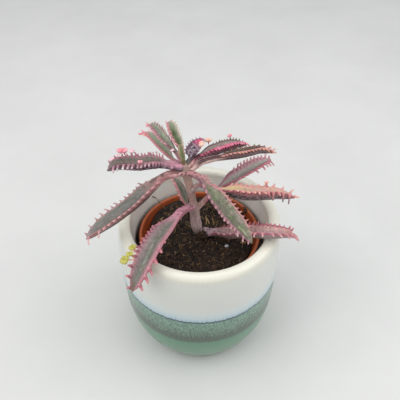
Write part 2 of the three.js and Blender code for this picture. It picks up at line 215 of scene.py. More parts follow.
def piece(name, v, faces, mat, nodes=(), attrs=None):
    """A finished piece: v in millimetres."""
    me = raw_mesh(name, v * MM, faces)
    me.polygons.foreach_set("use_smooth", np.ones(len(me.polygons), bool))
    for key, val in (attrs or {}).items():
        a = me.attributes.new(key, "FLOAT", "POINT")
        a.data.foreach_set("value", np.ascontiguousarray(val, np.float32))
    me.materials.append(mat)
    ob = bpy.data.objects.new(name, me)
    SCENE.collection.objects.link(ob)
    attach(ob, "root")
    if nodes:
        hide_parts(*nodes)
    return ob


def tube(path, radii, sides=8, squash=1.0, cap=True):
    """A closed round-ended tube along path (n,3)."""
    path = np.asarray(path, float)
    n = len(path)
    t = np.gradient(path, axis=0)
    t /= np.linalg.norm(t, axis=1)[:, None] + 1e-12
    ref = np.array([0.0, 0.0, 1.0]) if abs(t[0, 2]) < 0.9 else np.array([1.0, 0.0, 0.0])
    a = np.cross(t[0], ref)
    a /= np.linalg.norm(a)
    ang = 2 * math.pi * np.arange(sides) / sides
    rows = []
    for i in range(n):
        a = a - (a @ t[i]) * t[i]
        a /= np.linalg.norm(a)
        b = np.cross(t[i], a)
        rows.append(path[i] + radii[i] * (np.cos(ang)[:, None] * a + squash * np.sin(ang)[:, None] * b))
    v = np.vstack(rows + [path[0] - t[0] * radii[0] * 0.6, path[-1] + t[-1] * radii[-1] * 0.6])
    i = np.arange(n - 1)[:, None] * sides
    j = np.arange(sides)
    k = (j + 1) % sides
    quads = np.stack([i + j, i + k, i + sides + k, i + sides + j], -1).reshape(-1, 4)
    lo = np.stack([np.full(sides, n * sides), k, j], -1)
    hi = np.stack([np.full(sides, n * sides + 1), (n - 1) * sides + j, (n - 1) * sides + k], -1)
    return v, quads, np.vstack([lo, hi])


def stack(parts):
    """Joins (v, quads, tris) parts."""
    vs, q, t, base = [], [], [], 0
    for v, quads, tris in parts:
        vs.append(v)
        if quads is not None and len(quads):
            q.append(quads + base)
        if tris is not None and len(tris):
            t.append(tris + base)
        base += len(v)
    faces = []
    if q:
        faces.append(np.vstack(q))
    if t:
        faces.append(np.vstack(t))
    return np.vstack(vs), faces


def lathe(profile, segments):
    """A closed turned skin from a profile of (r, z) that starts and ends on the axis."""
    prof = np.asarray(profile, float)
    ring = prof[(prof[:, 0] > 1e-6)]
    n = len(ring)
    a = 2 * math.pi * np.arange(segments) / segments
    v = np.empty((n, segments, 3))
    v[:, :, 0] = ring[:, 0:1] * np.cos(a)
    v[:, :, 1] = ring[:, 0:1] * np.sin(a)
    v[:, :, 2] = ring[:, 1:2]
    v = v.reshape(-1, 3)
    i = np.arange(n - 1)[:, None] * segments
    j = np.arange(segments)
    k = (j + 1) % segments
    quads = np.stack([i + j, i + k, i + segments + k, i + segments + j], -1).reshape(-1, 4)
    v = np.vstack([v, [[0, 0, prof[0, 1]], [0, 0, prof[-1, 1]]]])
    lo = np.stack([np.full(segments, n * segments), k, j], -1)
    hi = np.stack([np.full(segments, n * segments + 1), (n - 1) * segments + j, (n - 1) * segments + k], -1)
    return v, [quads, np.vstack([lo, hi])]


def dense(points, step):
    """Centripetal spline through points, resampled every step."""
    c = catmull(np.asarray(points, float), 24)
    d = np.r_[0, np.cumsum(np.linalg.norm(np.diff(c, axis=0), axis=1))]
    n = max(2, int(round(d[-1] / step)) + 1)
    s = np.linspace(0, d[-1], n)
    return np.stack([np.interp(s, d, c[:, k]) for k in range(c.shape[1])], 1)


def catmull(p, per):
    p = np.vstack([2 * p[0] - p[1], p, 2 * p[-1] - p[-2]])
    out = []
    for i in range(1, len(p) - 2):
        p0, p1, p2, p3 = p[i - 1:i + 3]
        t0 = 0.0
        t1 = t0 + math.sqrt(np.linalg.norm(p1 - p0))
        t2 = t1 + math.sqrt(np.linalg.norm(p2 - p1))
        t3 = t2 + math.sqrt(np.linalg.norm(p3 - p2))
        t = np.linspace(t1, t2, per, endpoint=False)[:, None]
        a1 = (t1 - t) / (t1 - t0) * p0 + (t - t0) / (t1 - t0) * p1
        a2 = (t2 - t) / (t2 - t1) * p1 + (t - t1) / (t2 - t1) * p2
        a3 = (t3 - t) / (t3 - t2) * p2 + (t - t2) / (t3 - t2) * p3
        b1 = (t2 - t) / (t2 - t0) * a1 + (t - t0) / (t2 - t0) * a2
        b2 = (t3 - t) / (t3 - t1) * a2 + (t - t1) / (t3 - t1) * a3
        out.append((t2 - t) / (t2 - t1) * b1 + (t - t1) / (t2 - t1) * b2)
    return np.vstack(out + [p[-2][None]])


# ---------------------------------------------------------------- node trees


class Tree:
    """A little builder for procedural materials."""

    def __init__(self, name):
        self.mat = bpy.data.materials.new(name)
        self.mat.use_nodes = True
        self.nt = self.mat.node_tree
        self.nt.nodes.clear()
        self.out = self.nt.nodes.new("ShaderNodeOutputMaterial")
        self.bsdf = self.nt.nodes.new("ShaderNodeBsdfPrincipled")
        self.nt.links.new(self.bsdf.outputs[0], self.out.inputs[0])
        self._coord = None

    def link(self, a, b):
        if isinstance(a, (int, float)):
            b.default_value = a
        elif isinstance(a, tuple):
            b.default_value = a if len(a) == 4 or b.type == "VECTOR" else (*a, 1.0)
        else:
            self.nt.links.new(a, b)

    def new(self, kind, **props):
        n = self.nt.nodes.new(kind)
        for k, v in props.items():
            setattr(n, k, v)
        return n

    @property
    def coord(self):
        if self._coord is None:
            self._coord = self.new("ShaderNodeTexCoord").outputs["Object"]
        return self._coord

    def attr(self, name):
        n = self.new("ShaderNodeAttribute", attribute_name=name)
        n.attribute_type = "GEOMETRY"
        return n.outputs["Fac"]

    def math(self, op, a, b=0.0, clamp=False):
        n = self.new("ShaderNodeMath", operation=op, use_clamp=clamp)
        self.link(a, n.inputs[0])
        self.link(b, n.inputs[1])
        return n.outputs[0]

    def span(self, x, a, b, c=0.0, d=1.0, kind="SMOOTHSTEP"):
        """x from a..b to c..d, clamped."""
        n = self.new("ShaderNodeMapRange", interpolation_type=kind)
        self.link(x, n.inputs["Value"])
        for key, v in (("From Min", a), ("From Max", b), ("To Min", c), ("To Max", d)):
            self.link(v, n.inputs[key])
        return n.outputs["Result"]

    def vec(self, x, y, z):
        n = self.new("ShaderNodeCombineXYZ")
        for v, s in zip((x, y, z), n.inputs):
            self.link(v, s)
        return n.outputs[0]

    def xyz(self, v=None):
        n = self.new("ShaderNodeSeparateXYZ")
        self.link(v if v is not None else self.coord, n.inputs[0])
        return n.outputs

    def noise(self, scale, detail=3.0, rough=0.55, vec=None, distortion=0.0):
        n = self.new("ShaderNodeTexNoise")
        self.link(vec if vec is not None else self.coord, n.inputs["Vector"])
        n.inputs["Scale"].default_value = scale
        n.inputs["Detail"].default_value = detail
        n.inputs["Roughness"].default_value = rough
        n.inputs["Distortion"].default_value = distortion
        return n.outputs["Fac"]

    def cells(self, scale, vec=None, feature="F1", rand=1.0):
        n = self.new("ShaderNodeTexVoronoi", feature=feature)
        self.link(vec if vec is not None else self.coord, n.inputs["Vector"])
        n.inputs["Scale"].default_value = scale
        n.inputs["Randomness"].default_value = rand
        return n.outputs["Distance"]

    def mix(self, f, a, b, mode="MIX"):
        n = self.new("ShaderNodeMix", data_type="RGBA", blend_type=mode)
        n.clamp_factor = True
        self.link(f, n.inputs["Factor"])
        for v, key in ((a, 6), (b, 7)):
            self.link(v, n.inputs[key])
        return n.outputs[2]

    def ramp(self, f, stops, kind="LINEAR"):
        n = self.new("ShaderNodeValToRGB")
        r = n.color_ramp
        r.interpolation = kind
        while len(r.elements) < len(stops):
            r.elements.new(0.5)
        for e, (p, c) in zip(r.elements, sorted(stops, key=lambda q: q[0])):
            e.position = p
            e.color = lin(c)
        self.link(f, n.inputs[0])
        return n.outputs["Color"]

    def bump(self, height, strength, distance, normal=None):
        n = self.new("ShaderNodeBump")
        n.inputs["Strength"].default_value = strength
        n.inputs["Distance"].default_value = distance
        self.link(height, n.inputs["Height"])
        if normal is not None:
            self.nt.links.new(normal, n.inputs["Normal"])
        return n.outputs[0]

    def finish(self, color, rough, normal=None, **sockets):
        self.link(color, self.bsdf.inputs["Base Color"])
        self.link(rough, self.bsdf.inputs["Roughness"])
        if normal is not None:
            self.nt.links.new(normal, self.bsdf.inputs["Normal"])
        for k, v in sockets.items():
            self.bsdf.inputs[k.replace("_", " ")].default_value = v
        return self.mat


# ---------------------------------------------------------------- cachepot

POT_OUTER = [(50.4, 0.0), (52.4, 0.9), (54.0, 2.8), (56.2, 7.0), (60.6, 16.2), (64.3, 25.0), (66.9, 33.9), (69.2, 47.0),
             (70.3, 66.0), (70.8, 88.0), (71.0, 108.3), (70.3, 124.0), (68.9, 135.4)]
POT_INNER = [(58.7, 135.4), (58.0, 131.0), (57.0, 124.0), (56.4, 116.0), (57.6, 106.0), (60.6, 94.0), (62.8, 80.0), (62.5, 60.0), (60.0, 40.0), (54.5, 22.0),
             (48.5, 13.0), (42.0, 9.7)]
LINE_Z = 86.0         # where the white glaze ends
BAND_Z = 53.5         # where the streaked band ends and the plain jade begins


def cachepot_material():
    t = Tree("cachepot_glaze")
    x, y, z = t.xyz()
    zmm = t.math("MULTIPLY", z, 1000.0)
    angle = t.math("ARCTAN2", y, x)
    around = t.vec(t.math("MULTIPLY", t.math("COSINE", angle), 0.07), t.math("MULTIPLY", t.math("SINE", angle), 0.07), 0.0)
    inside = t.attr("inside")
    # the line wanders a little, with small jags like glaze that ran
    wander = t.noise(38.0, 2.0, 0.5, around)
    jags = t.noise(420.0, 3.0, 0.65, around)
    edge = t.math("ADD", t.math("MULTIPLY", t.math("SUBTRACT", wander, 0.5), 2.2), t.math("MULTIPLY", t.math("SUBTRACT", jags, 0.5), 5.5))
    h = t.math("ADD", zmm, edge)
    # streaks: noise pulled out up and down the wall
    fine = t.noise(900.0, 4.0, 0.8, t.vec(t.xyz(around)[0], t.xyz(around)[1], t.math("MULTIPLY", z, 0.30)))
    broad = t.noise(150.0, 2.0, 0.6, t.vec(t.xyz(around)[0], t.xyz(around)[1], t.math("MULTIPLY", z, 0.25)))
    grain = t.noise(900.0, 2.0, 0.6)
    streak = t.math("ADD", t.math("MULTIPLY", t.math("SUBTRACT", fine, 0.5), 12.0), t.math("MULTIPLY", t.math("SUBTRACT", broad, 0.5), 5.0))
    hs = t.math("ADD", h, streak)
    white = t.ramp(t.span(h, LINE_Z, 140.0, 0.0, 1.0, "LINEAR"), [
        (0.0, (150, 172, 186)), (0.035, (176, 198, 208)), (0.10, (199, 214, 218)), (0.20, (213, 220, 218)), (0.32, (217, 219, 213)),
        (0.86, (219, 220, 213)), (0.94, (228, 226, 212)), (1.0, (231, 229, 215))])
    # painted light: the inside wall is painted a brighter white than the outer white glaze, to lift the shade inside
    # the pot
    inner = t.ramp(t.span(zmm, 9.0, 140.0, 0.0, 1.0, "LINEAR"), [(0.0, (240, 240, 234)), (0.7, (246, 246, 240)), (0.93, (246, 245, 236)), (1.0, (238, 236, 222))])
    band = t.ramp(t.span(hs, 44.0, LINE_Z, 0.0, 1.0, "LINEAR"), [
        (0.0, (106, 146, 120)), (0.16, (104, 140, 117)), (0.25, (84, 102, 87)), (0.40, (86, 102, 88)), (0.52, (100, 122, 105)),
        (0.70, (119, 150, 130)), (0.92, (128, 162, 144)), (0.985, (108, 142, 134)), (1.0, (79, 105, 108))])
    jade = t.mix(t.noise(55.0, 3.0, 0.55), lin((90, 134, 107)), lin((98, 145, 116)))
    jade = t.mix(t.span(zmm, 46.0, 8.0, 0.0, 0.55), jade, lin((98, 126, 104)))
    lower = t.mix(t.span(t.math("ADD", zmm, t.math("MULTIPLY", streak, 0.45)), BAND_Z + 1.6, BAND_Z - 2.6), band, jade)
    # dark and light flecks in the streaked band
    flecks = t.span(fine, 0.36, 0.56)
    lower = t.mix(t.math("MULTIPLY", t.span(zmm, BAND_Z - 2.0, BAND_Z + 6.0), t.math("MULTIPLY", t.math("SUBTRACT", 1.0, flecks), 0.66)),
                  lower, lin((46, 62, 64)))
    lower = t.mix(t.math("MULTIPLY", t.span(zmm, BAND_Z + 4.0, BAND_Z + 14.0), t.math("MULTIPLY", t.span(fine, 0.53, 0.68), 0.75)),
                  lower, lin((146, 186, 162)))
    col = t.mix(t.span(h, LINE_Z - 0.25, LINE_Z + 0.35), lower, white)
    line = t.math("MULTIPLY", t.span(h, LINE_Z - 1.7, LINE_Z - 0.5), t.span(h, LINE_Z + 0.75, LINE_Z + 0.05))
    col = t.mix(t.math("MULTIPLY", line, 0.96), col, lin((30, 46, 70)))
    # a smear and a few specks in the white
    speck = t.span(t.cells(95.0), 0.045, 0.02)
    col = t.mix(t.math("MULTIPLY", t.math("MULTIPLY", speck, t.span(t.noise(31.0, 0.0), 0.55, 0.62)), 0.35), col, lin((170, 160, 140)))
    run = t.noise(210.0, 3.0, 0.6, t.vec(t.xyz(around)[0], t.xyz(around)[1], t.math("MULTIPLY", z, 0.16)))
    col = t.mix(t.math("MULTIPLY", t.math("MULTIPLY", t.span(run, 0.68, 0.74), t.span(h, LINE_Z + 6.0, LINE_Z + 14.0)), 0.30), col, lin((176, 160, 140)))
    # the inside takes the brighter white of painted light
    col = t.mix(inside, col, inner)
    col = t.mix(0.05, col, t.ramp(grain, [(0.3, (150, 150, 150)), (0.7, (255, 255, 255))]), "MULTIPLY")
    # unglazed clay on the foot
    col = t.mix(t.span(zmm, 1.1, 0.5), col, t.mix(t.noise(300.0, 3.0), lin((190, 172, 148)), lin((206, 190, 168))))
    rough = t.math("ADD", t.span(t.noise(60.0, 3.0), 0.3, 0.7, 0.16, 0.26), t.span(zmm, 1.1, 0.5, 0.0, 0.5))
    pull = t.math("MULTIPLY", t.math("SUBTRACT", fine, 0.5), t.span(zmm, 88.0, 80.0))
    height = t.math("ADD", t.noise(90.0, 2.0, 0.4), t.math("MULTIPLY", pull, 0.5))
    return t.finish(col, rough, t.bump(height, 0.18, 0.0006), Coat_Weight=0.15, Coat_Roughness=0.08, IOR=1.45)


def make_cachepot():
    outer = dense(POT_OUTER[1:], 1.6)
    lip = [(63.8 + 5.1 * math.cos(a), 135.4 + 5.1 * math.sin(a)) for a in np.linspace(0, math.pi, 26)]
    inner = dense(POT_INNER, 1.9)
    foot = [(0, 1.3), (30, 1.35), (44.0, 1.4), (45.8, 1.2), (46.9, 0.5), (47.5, 0.12), (48.4, 0.0), (49.6, 0.0), (50.8, 0.15)]
    prof = foot + [tuple(p) for p in outer[:-1]] + lip + [tuple(p) for p in inner[1:]] + [(38.0, 9.72), (20.0, 9.7), (0, 9.7)]
    v, faces = lathe(prof, 224)
    n_foot, n_out = len(foot), len(outer)
    idx = np.arange(len(prof) - 2)
    where = np.repeat(idx, 224)
    where = np.r_[where, 0, len(prof) - 3]
    inside = (where >= n_foot - 1 + n_out + 15).astype(float)
    # a thrown-looking wall: very slight waves, and the thick glaze stands a hair proud above the line
    ang = np.arctan2(v[:, 1], v[:, 0])
    r = np.hypot(v[:, 0], v[:, 1])
    dr = 0.16 * np.sin(2 * ang + 0.6) + 0.08 * np.sin(3 * ang + 2.0 + v[:, 2] * 0.02) + 0.05 * np.sin(5 * ang - v[:, 2] * 0.05)
    dr *= smooth(0.0, 40.0, v[:, 2])
    line = LINE_Z + 0.7 * np.sin(4 * ang + 1.0) + 0.5 * np.sin(9 * ang)
    dr += 0.14 * smooth(line - 0.8, line + 0.8, v[:, 2]) * (1 - inside)
    k = np.where(r > 1, (r + dr) / np.maximum(r, 1), 1.0)
    v[:, 0] *= k
    v[:, 1] *= k
    v[:, 2] += 0.12 * np.sin(2 * ang - 0.4) * smooth(100, 140, v[:, 2])
    return piece("cachepot_glazed", v, faces, cachepot_material(), ["cachepot"], {"inside": inside})


# ---------------------------------------------------------------- nursery pot


def nursery_material():
    t = Tree("terracotta_plastic")
    x, y, z = t.xyz()
    zmm = t.math("MULTIPLY", z, 1000.0)
    big = t.noise(28.0, 3.0, 0.6)
    fine = t.noise(700.0, 3.0, 0.7)
    col = t.ramp(big, [(0.3, (142, 60, 26)), (0.7, (164, 76, 36))])
    # dust and splashed peat on the inner wall, and a painted highlight along the top of the rim
    col = t.mix(t.math("MULTIPLY", t.span(t.noise(130.0, 4.0, 0.7), 0.48, 0.70), 0.4), col, lin((104, 54, 30)))
    # painted highlight: the top of the rolled rim is painted a brighter orange
    col = t.mix(t.math("MULTIPLY", t.span(zmm, 119.6, 121.0), 0.6), col, lin((196, 104, 58)))
    col = t.mix(t.math("MULTIPLY", t.span(t.cells(240.0), 0.12, 0.05), 0.6), col, lin((60, 40, 30)))
    col = t.mix(t.math("MULTIPLY", fine, 0.10), col, lin((200, 116, 72)))
    rings = t.math("SINE", t.math("MULTIPLY", zmm, 5.2))
    height = t.math("ADD", t.math("MULTIPLY", rings, 0.15), fine)
    return t.finish(col, t.span(big, 0.3, 0.7, 0.34, 0.48), t.bump(height, 0.25, 0.00012), IOR=1.48)


def make_nursery_pot():
    out = [(37.5, 10.0), (38.35, 10.25), (38.8, 11.2)]
    wall = [(38.8 + (48.0 - 38.8) * k / 22.0, 11.2 + (106.0 - 11.2) * k / 22.0) for k in range(1, 23)]
    rim = [(48.6, 107.0), (49.6, 108.6), (50.1, 111.5), (50.9, 115.6), (51.5, 118.6), (51.9, 119.3), (52.4, 119.55), (52.62, 119.9), (52.62, 120.4),
           (52.4, 120.85), (51.95, 121.05), (51.3, 121.1), (50.75, 120.95), (50.3, 120.5), (49.9, 119.4), (48.9, 116.2), (47.7, 112.6), (46.9, 109.9), (46.5, 108.7), (46.1, 106.2)]
    inn = [(46.1 + (37.4 - 46.1) * k / 20.0, 106.2 + (13.2 - 106.2) * k / 20.0) for k in range(1, 21)]
    floor = [(37.1, 12.2), (36.4, 11.6)]
    prof = [(0, 10.0), (20, 10.0), (30, 10.0)] + out + wall + rim + inn + floor + [(30, 11.6), (20, 11.6), (0, 11.6)]
    v, faces = lathe(prof, 160)
    ang = np.arctan2(v[:, 1], v[:, 0])
    r = np.hypot(v[:, 0], v[:, 1])
    dr = (0.22 * np.sin(2 * ang + 1.1) + 0.12 * np.sin(3 * ang + 0.2)) * smooth(40, 120, v[:, 2])
    k = np.where(r > 1, (r + dr) / np.maximum(r, 1), 1.0)
    v[:, 0] *= k
    v[:, 1] *= k
    me = raw_mesh("scratch", v, faces)
    # drainage holes
    drills = []
    for i in range(6):
        a = 2 * math.pi * (i + 0.5) / 6
        c = np.array([25 * math.cos(a), 25 * math.sin(a), 0.0])
        drills.append(tube([c + (0, 0, 7), c + (0, 0, 15)], [3.5, 3.5], 28))
    dv, df = stack(drills)
    dme = raw_mesh("scratch_drill", dv, df)
    dob = bpy.data.objects.new("scratch_drill", dme)
    SCENE.collection.objects.link(dob)

    def setup(ob):
        m = ob.modifiers.new("holes", "BOOLEAN")
        m.operation = "DIFFERENCE"
        m.solver = "EXACT"
        m.object = dob

    me = through_modifiers(me, setup)
    bpy.data.objects.remove(dob)
    bpy.data.meshes.remove(dme)
    me.name = "nursery_pot_moulded"
    me.transform(Matrix.Scale(MM, 4))
    me.polygons.foreach_set("use_smooth", np.ones(len(me.polygons), bool))
    me.materials.clear()
    me.materials.append(nursery_material())
    ob = bpy.data.objects.new("nursery_pot_moulded", me)
    SCENE.collection.objects.link(ob)
    m = ob.modifiers.new("edges", "EDGE_SPLIT")
    m.split_angle = math.radians(50)
    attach(ob, "root")
    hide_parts("nursery_pot")
    return ob


# ---------------------------------------------------------------- stem

STEM_LINE = [(-1.4, 4, 102), (-1.9, 4, 114), (-3.1, 4, 128.3), (-4.5, 4, 143), (-5.9, 4, 156.9), (-7.8, 4, 169.1), (-9.8, 4, 179.3),
             (-11.7, 4, 188.6), (-12.4, 4, 195.0)]
STEM_RADIUS = [(102, 1.9), (112, 2.0), (116, 3.2), (120, 4.3), (124, 4.8), (132, 4.4), (138, 4.2), (143, 4.3), (148, 3.6), (156, 3.0),
               (163, 3.2), (167, 3.6), (171, 3.2), (179, 3.6), (187, 3.9), (192, 3.4), (194.4, 2.5)]


def stem_material():
    t = Tree("stem_skin")
    x, y, z = t.xyz()
    zmm = t.math("MULTIPLY", z, 1000.0)
    col = t.ramp(t.span(zmm, 112.0, 196.0, 0.0, 1.0, "LINEAR"), [
        (0.0, (110, 90, 82)), (0.08, (172, 152, 150)), (0.20, (212, 190, 188)), (0.38, (204, 176, 170)), (0.55, (190, 156, 146)),
        (0.75, (200, 166, 154)), (0.9, (174, 144, 134)), (1.0, (182, 150, 138))])
    lines = t.noise(900.0, 3.0, 0.7, t.vec(x, y, t.math("MULTIPLY", z, 0.08)))
    patches = t.noise(160.0, 3.0, 0.6)
    col = t.mix(t.math("MULTIPLY", t.span(lines, 0.42, 0.62), 0.4), col, lin((104, 82, 78)))
    col = t.mix(t.math("MULTIPLY", t.span(patches, 0.52, 0.68), 0.45), col, lin((168, 150, 152)))
    col = t.mix(t.math("MULTIPLY", t.span(t.noise(420.0, 2.0), 0.60, 0.72), 0.35), col, lin((112, 62, 74)))
    height = t.math("ADD", lines, t.math("MULTIPLY", patches, 0.8))
    return t.finish(col, 0.52, t.bump(height, 0.5, 0.0004), Subsurface_Weight=0.06, Subsurface_Scale=0.002)


def make_stem():
    zs = np.linspace(102.0, 194.6, 186)
    line = dense([(p[2], p[0]) for p in STEM_LINE], 0.5)
    xs = np.interp(zs, line[:, 0], line[:, 1])
    rad = dense(STEM_RADIUS, 0.4)
    rs = np.interp(zs, rad[:, 0], rad[:, 1])
    rs[-6:] *= np.sqrt(np.linspace(1, 0.12, 6))
    sides = 48
    a = 2 * math.pi * np.arange(sides) / sides
    # leaf scars: faint rings where older leaves came off, in crossed pairs
    v = np.empty((len(zs), sides, 3))
    r = rs[:, None] * np.ones(sides)
    for zc, turn in ((126.0, 0.4), (134.5, 2.0), (150.5, 0.9), (159.5, 2.5), (175.0, 1.4)):
        for side in (0.0, math.pi):
            d = np.cos(a - turn - side)[None, :]
            band = np.exp(-((zs[:, None] - zc - 0.8 * d) / 0.7) ** 2)
            r = r + 0.32 * band * np.clip(d, 0, 1) ** 0.7
            r = r - 0.22 * np.exp(-((zs[:, None] - zc - 1.7 - 0.8 * d) / 0.5) ** 2) * np.clip(d, 0, 1)
    r = r + 0.09 * np.sin(5 * a + zs[:, None] * 0.05) + 0.05 * np.sin(11 * a - zs[:, None] * 0.09)
    v[:, :, 0] = xs[:, None] + r * np.cos(a)
    v[:, :, 1] = 4 + r * np.sin(a)
    v[:, :, 2] = zs[:, None]
    n = len(zs)
    v = v.reshape(-1, 3)
    i = np.arange(n - 1)[:, None] * sides
    j = np.arange(sides)
    k = (j + 1) % sides
    quads = np.stack([i + j, i + k, i + sides + k, i + sides + j], -1).reshape(-1, 4)
    v = np.vstack([v, [[xs[0], 4, zs[0] - 0.2], [xs[-1], 4, zs[-1] + 0.15]]])
    lo = np.stack([np.full(sides, n * sides), k, j], -1)
    hi = np.stack([np.full(sides, n * sides + 1), (n - 1) * sides + j, (n - 1) * sides + k], -1)
    v[: n * sides] += 0.10 * wave_noise(v[: n * sides], 7, 6.0)[:, None] * np.array([1.0, 1.0, 0.0])
    return piece("stem_fleshy", v, [quads, np.vstack([lo, hi])], stem_material(), ["stem"])


# ---------------------------------------------------------------- soil

SOIL_TOP = [(0, 114.6), (8, 114.7), (17, 114.8), (26, 114.4), (34, 114.0), (41, 113.4), (46.2, 112.6)]


def soil_height(x, y):
    r = np.hypot(x, y)
    z = np.interp(r, [p[0] for p in SOIL_TOP], [p[1] for p in SOIL_TOP])
    n = np.sin(x * 0.31 + 1.3) * np.cos(y * 0.27 - 0.4) + 0.6 * np.sin(x * 0.11 - y * 0.19 + 2.0)
    z = z + 0.55 * n * np.clip((44 - r) / 10, 0, 1)
    return z


def soil_material(name="peat", crumbs=False):
    t = Tree(name)
    a = t.noise(180.0, 5.0, 0.7)
    b = t.noise(900.0, 4.0, 0.75)
    c = t.cells(420.0)
    col = t.ramp(a, [(0.3, (8, 5, 4)), (0.46, (24, 16, 12)), (0.58, (48, 34, 26)), (0.74, (84, 62, 46))])
    col = t.mix(t.math("MULTIPLY", t.span(b, 0.53, 0.70), 0.6), col, lin((104, 80, 58)))
    col = t.mix(t.math("MULTIPLY", t.span(c, 0.32, 0.12), 0.55), col, lin((12, 8, 6)))
    if crumbs:
        rnd = t.attr("rnd")
        col = t.mix(t.span(rnd, 0.55, 0.95, 0.0, 0.75), col, lin((96, 72, 52)))
        col = t.mix(t.span(rnd, 0.93, 0.96, 0.0, 0.7), col, lin((146, 110, 74)))
        col = t.mix(t.span(rnd, 0.25, 0.0, 0.0, 0.6), col, lin((10, 7, 5)))
    height = t.math("ADD", b, t.math("MULTIPLY", c, -0.8))
    return t.finish(col, t.span(a, 0.3, 0.7, 0.72, 0.95), t.bump(height, 0.9, 0.0007))


def make_soil():
    rng = np.random.default_rng(11)
    segs, rings = 260, 118
    rr = 46.2 * np.sqrt(np.linspace(0, 1, rings + 1)[1:] ** 1.15)
    a = 2 * math.pi * np.arange(segs) / segs
    X = (rr[:, None] * np.cos(a)).reshape(-1)
    Y = (rr[:, None] * np.sin(a)).reshape(-1)
    R = np.hypot(X, Y)
    Z = soil_height(X, Y)
    p = np.stack([X, Y, 0 * X], 1)
    edge = smooth(46.2, 44.0, R)
    rough = 0.55 * wave_noise(p, 21, 9.0, 3) + 0.42 * np.abs(wave_noise(p, 22, 3.4, 3)) + 0.30 * wave_noise(p, 23, 1.5, 2)
    Z = Z + edge * rough
    # small lumps pressed together
    for _ in range(420):
        lx, ly = rng.uniform(-45, 45, 2)
        if lx * lx + ly * ly > 44.5 ** 2:
            continue
        rad = rng.uniform(0.9, 2.6)
        d = np.hypot(X - lx, Y - ly) / rad
        Z += edge * rng.uniform(0.15, 0.75) * np.where(d < 1, (1 - np.clip(d, 0, 1) ** 2) ** 1.5, 0)
    # mound against the stem, slight dip at the wall
    Z += 0.7 * np.exp(-((X + 1.9) ** 2 + (Y - 4) ** 2) / 60.0)
    # banked up against the back of the pot
    bank = 4.6 * smooth(7.0, 32.0, Y) * smooth(14.0, 38.0, R)
    Z += bank
    spread = 1 + 0.42 * bank * smooth(38.0, 46.2, R) / np.maximum(R, 1)
    X, Y = X * spread, Y * spread
    v = np.stack([X, Y, Z], 1)
    sidep = [(46.4, 111.9), (45.7, 108.4), (43.5, 84.0), (40.2, 48.0), (36.9, 13.8), (35.9, 11.95), (20, 11.95)]
    sv = np.vstack([np.stack([r * np.cos(a), r * np.sin(a), 0 * a + z], 1) for r, z in sidep])
    n_top = len(v)
    v = np.vstack([v, sv, [[0, 0, float(Z[:segs].mean())], [0, 0, 11.95]]])
    j = np.arange(segs)
    k = (j + 1) % segs
    order = list(range(rings)) + [rings + q for q in range(len(sidep))]
    quads = []
    for lo, hi in zip(order[:-1], order[1:]):
        quads.append(np.stack([lo * segs + j, hi * segs + j, hi * segs + k, lo * segs + k], -1))
    tris = np.vstack([np.stack([np.full(segs, len(v) - 2), j, k], -1),
                      np.stack([np.full(segs, len(v) - 1), order[-1] * segs + k, order[-1] * segs + j], -1)])
    soil = piece("potting_soil_lumpy", v, [np.vstack(quads), tris], soil_material(), ["potting_soil"])
    top = v[:n_top]
    return soil, top




def ico(level=1):
    """A unit icosphere as (v, tris)."""
    ph = (1 + 5 ** 0.5) / 2
    v = np.array([(-1, ph, 0), (1, ph, 0), (-1, -ph, 0), (1, -ph, 0), (0, -1, ph), (0, 1, ph), (0, -1, -ph), (0, 1, -ph),
                  (ph, 0, -1), (ph, 0, 1), (-ph, 0, -1), (-ph, 0, 1)], float)
    v /= np.linalg.norm(v, axis=1)[:, None]
    f = np.array([(0, 11, 5), (0, 5, 1), (0, 1, 7), (0, 7, 10), (0, 10, 11), (1, 5, 9), (5, 11, 4), (11, 10, 2), (10, 7, 6), (7, 1, 8),
                  (3, 9, 4), (3, 4, 2), (3, 2, 6), (3, 6, 8), (3, 8, 9), (4, 9, 5), (2, 4, 11), (6, 2, 10), (8, 6, 7), (9, 8, 1)])
    for _ in range(level):
        mid, nf, v = {}, [], list(v)

        def m(a, b):
            key = (min(a, b), max(a, b))
            if key not in mid:
                q = v[a] + v[b]
                v.append(q / np.linalg.norm(q))
                mid[key] = len(v) - 1
            return mid[key]

        for a, b, c in f:
            ab, bc, ca = m(a, b), m(b, c), m(c, a)
            nf += [(a, ab, ca), (b, bc, ab), (c, ca, bc), (ab, bc, ca)]
        f, v = np.array(nf), np.array(v)
    return np.asarray(v), np.asarray(f)


def spin(rng):
    q = rng.normal(size=4)
    q /= np.linalg.norm(q)
    w, x, y, z = q
    return np.array([[1 - 2 * (y * y + z * z), 2 * (x * y - z * w), 2 * (x * z + y * w)],
                     [2 * (x * y + z * w), 1 - 2 * (x * x + z * z), 2 * (y * z - x * w)],
                     [2 * (x * z - y * w), 2 * (y * z + x * w), 1 - 2 * (x * x + y * y)]])


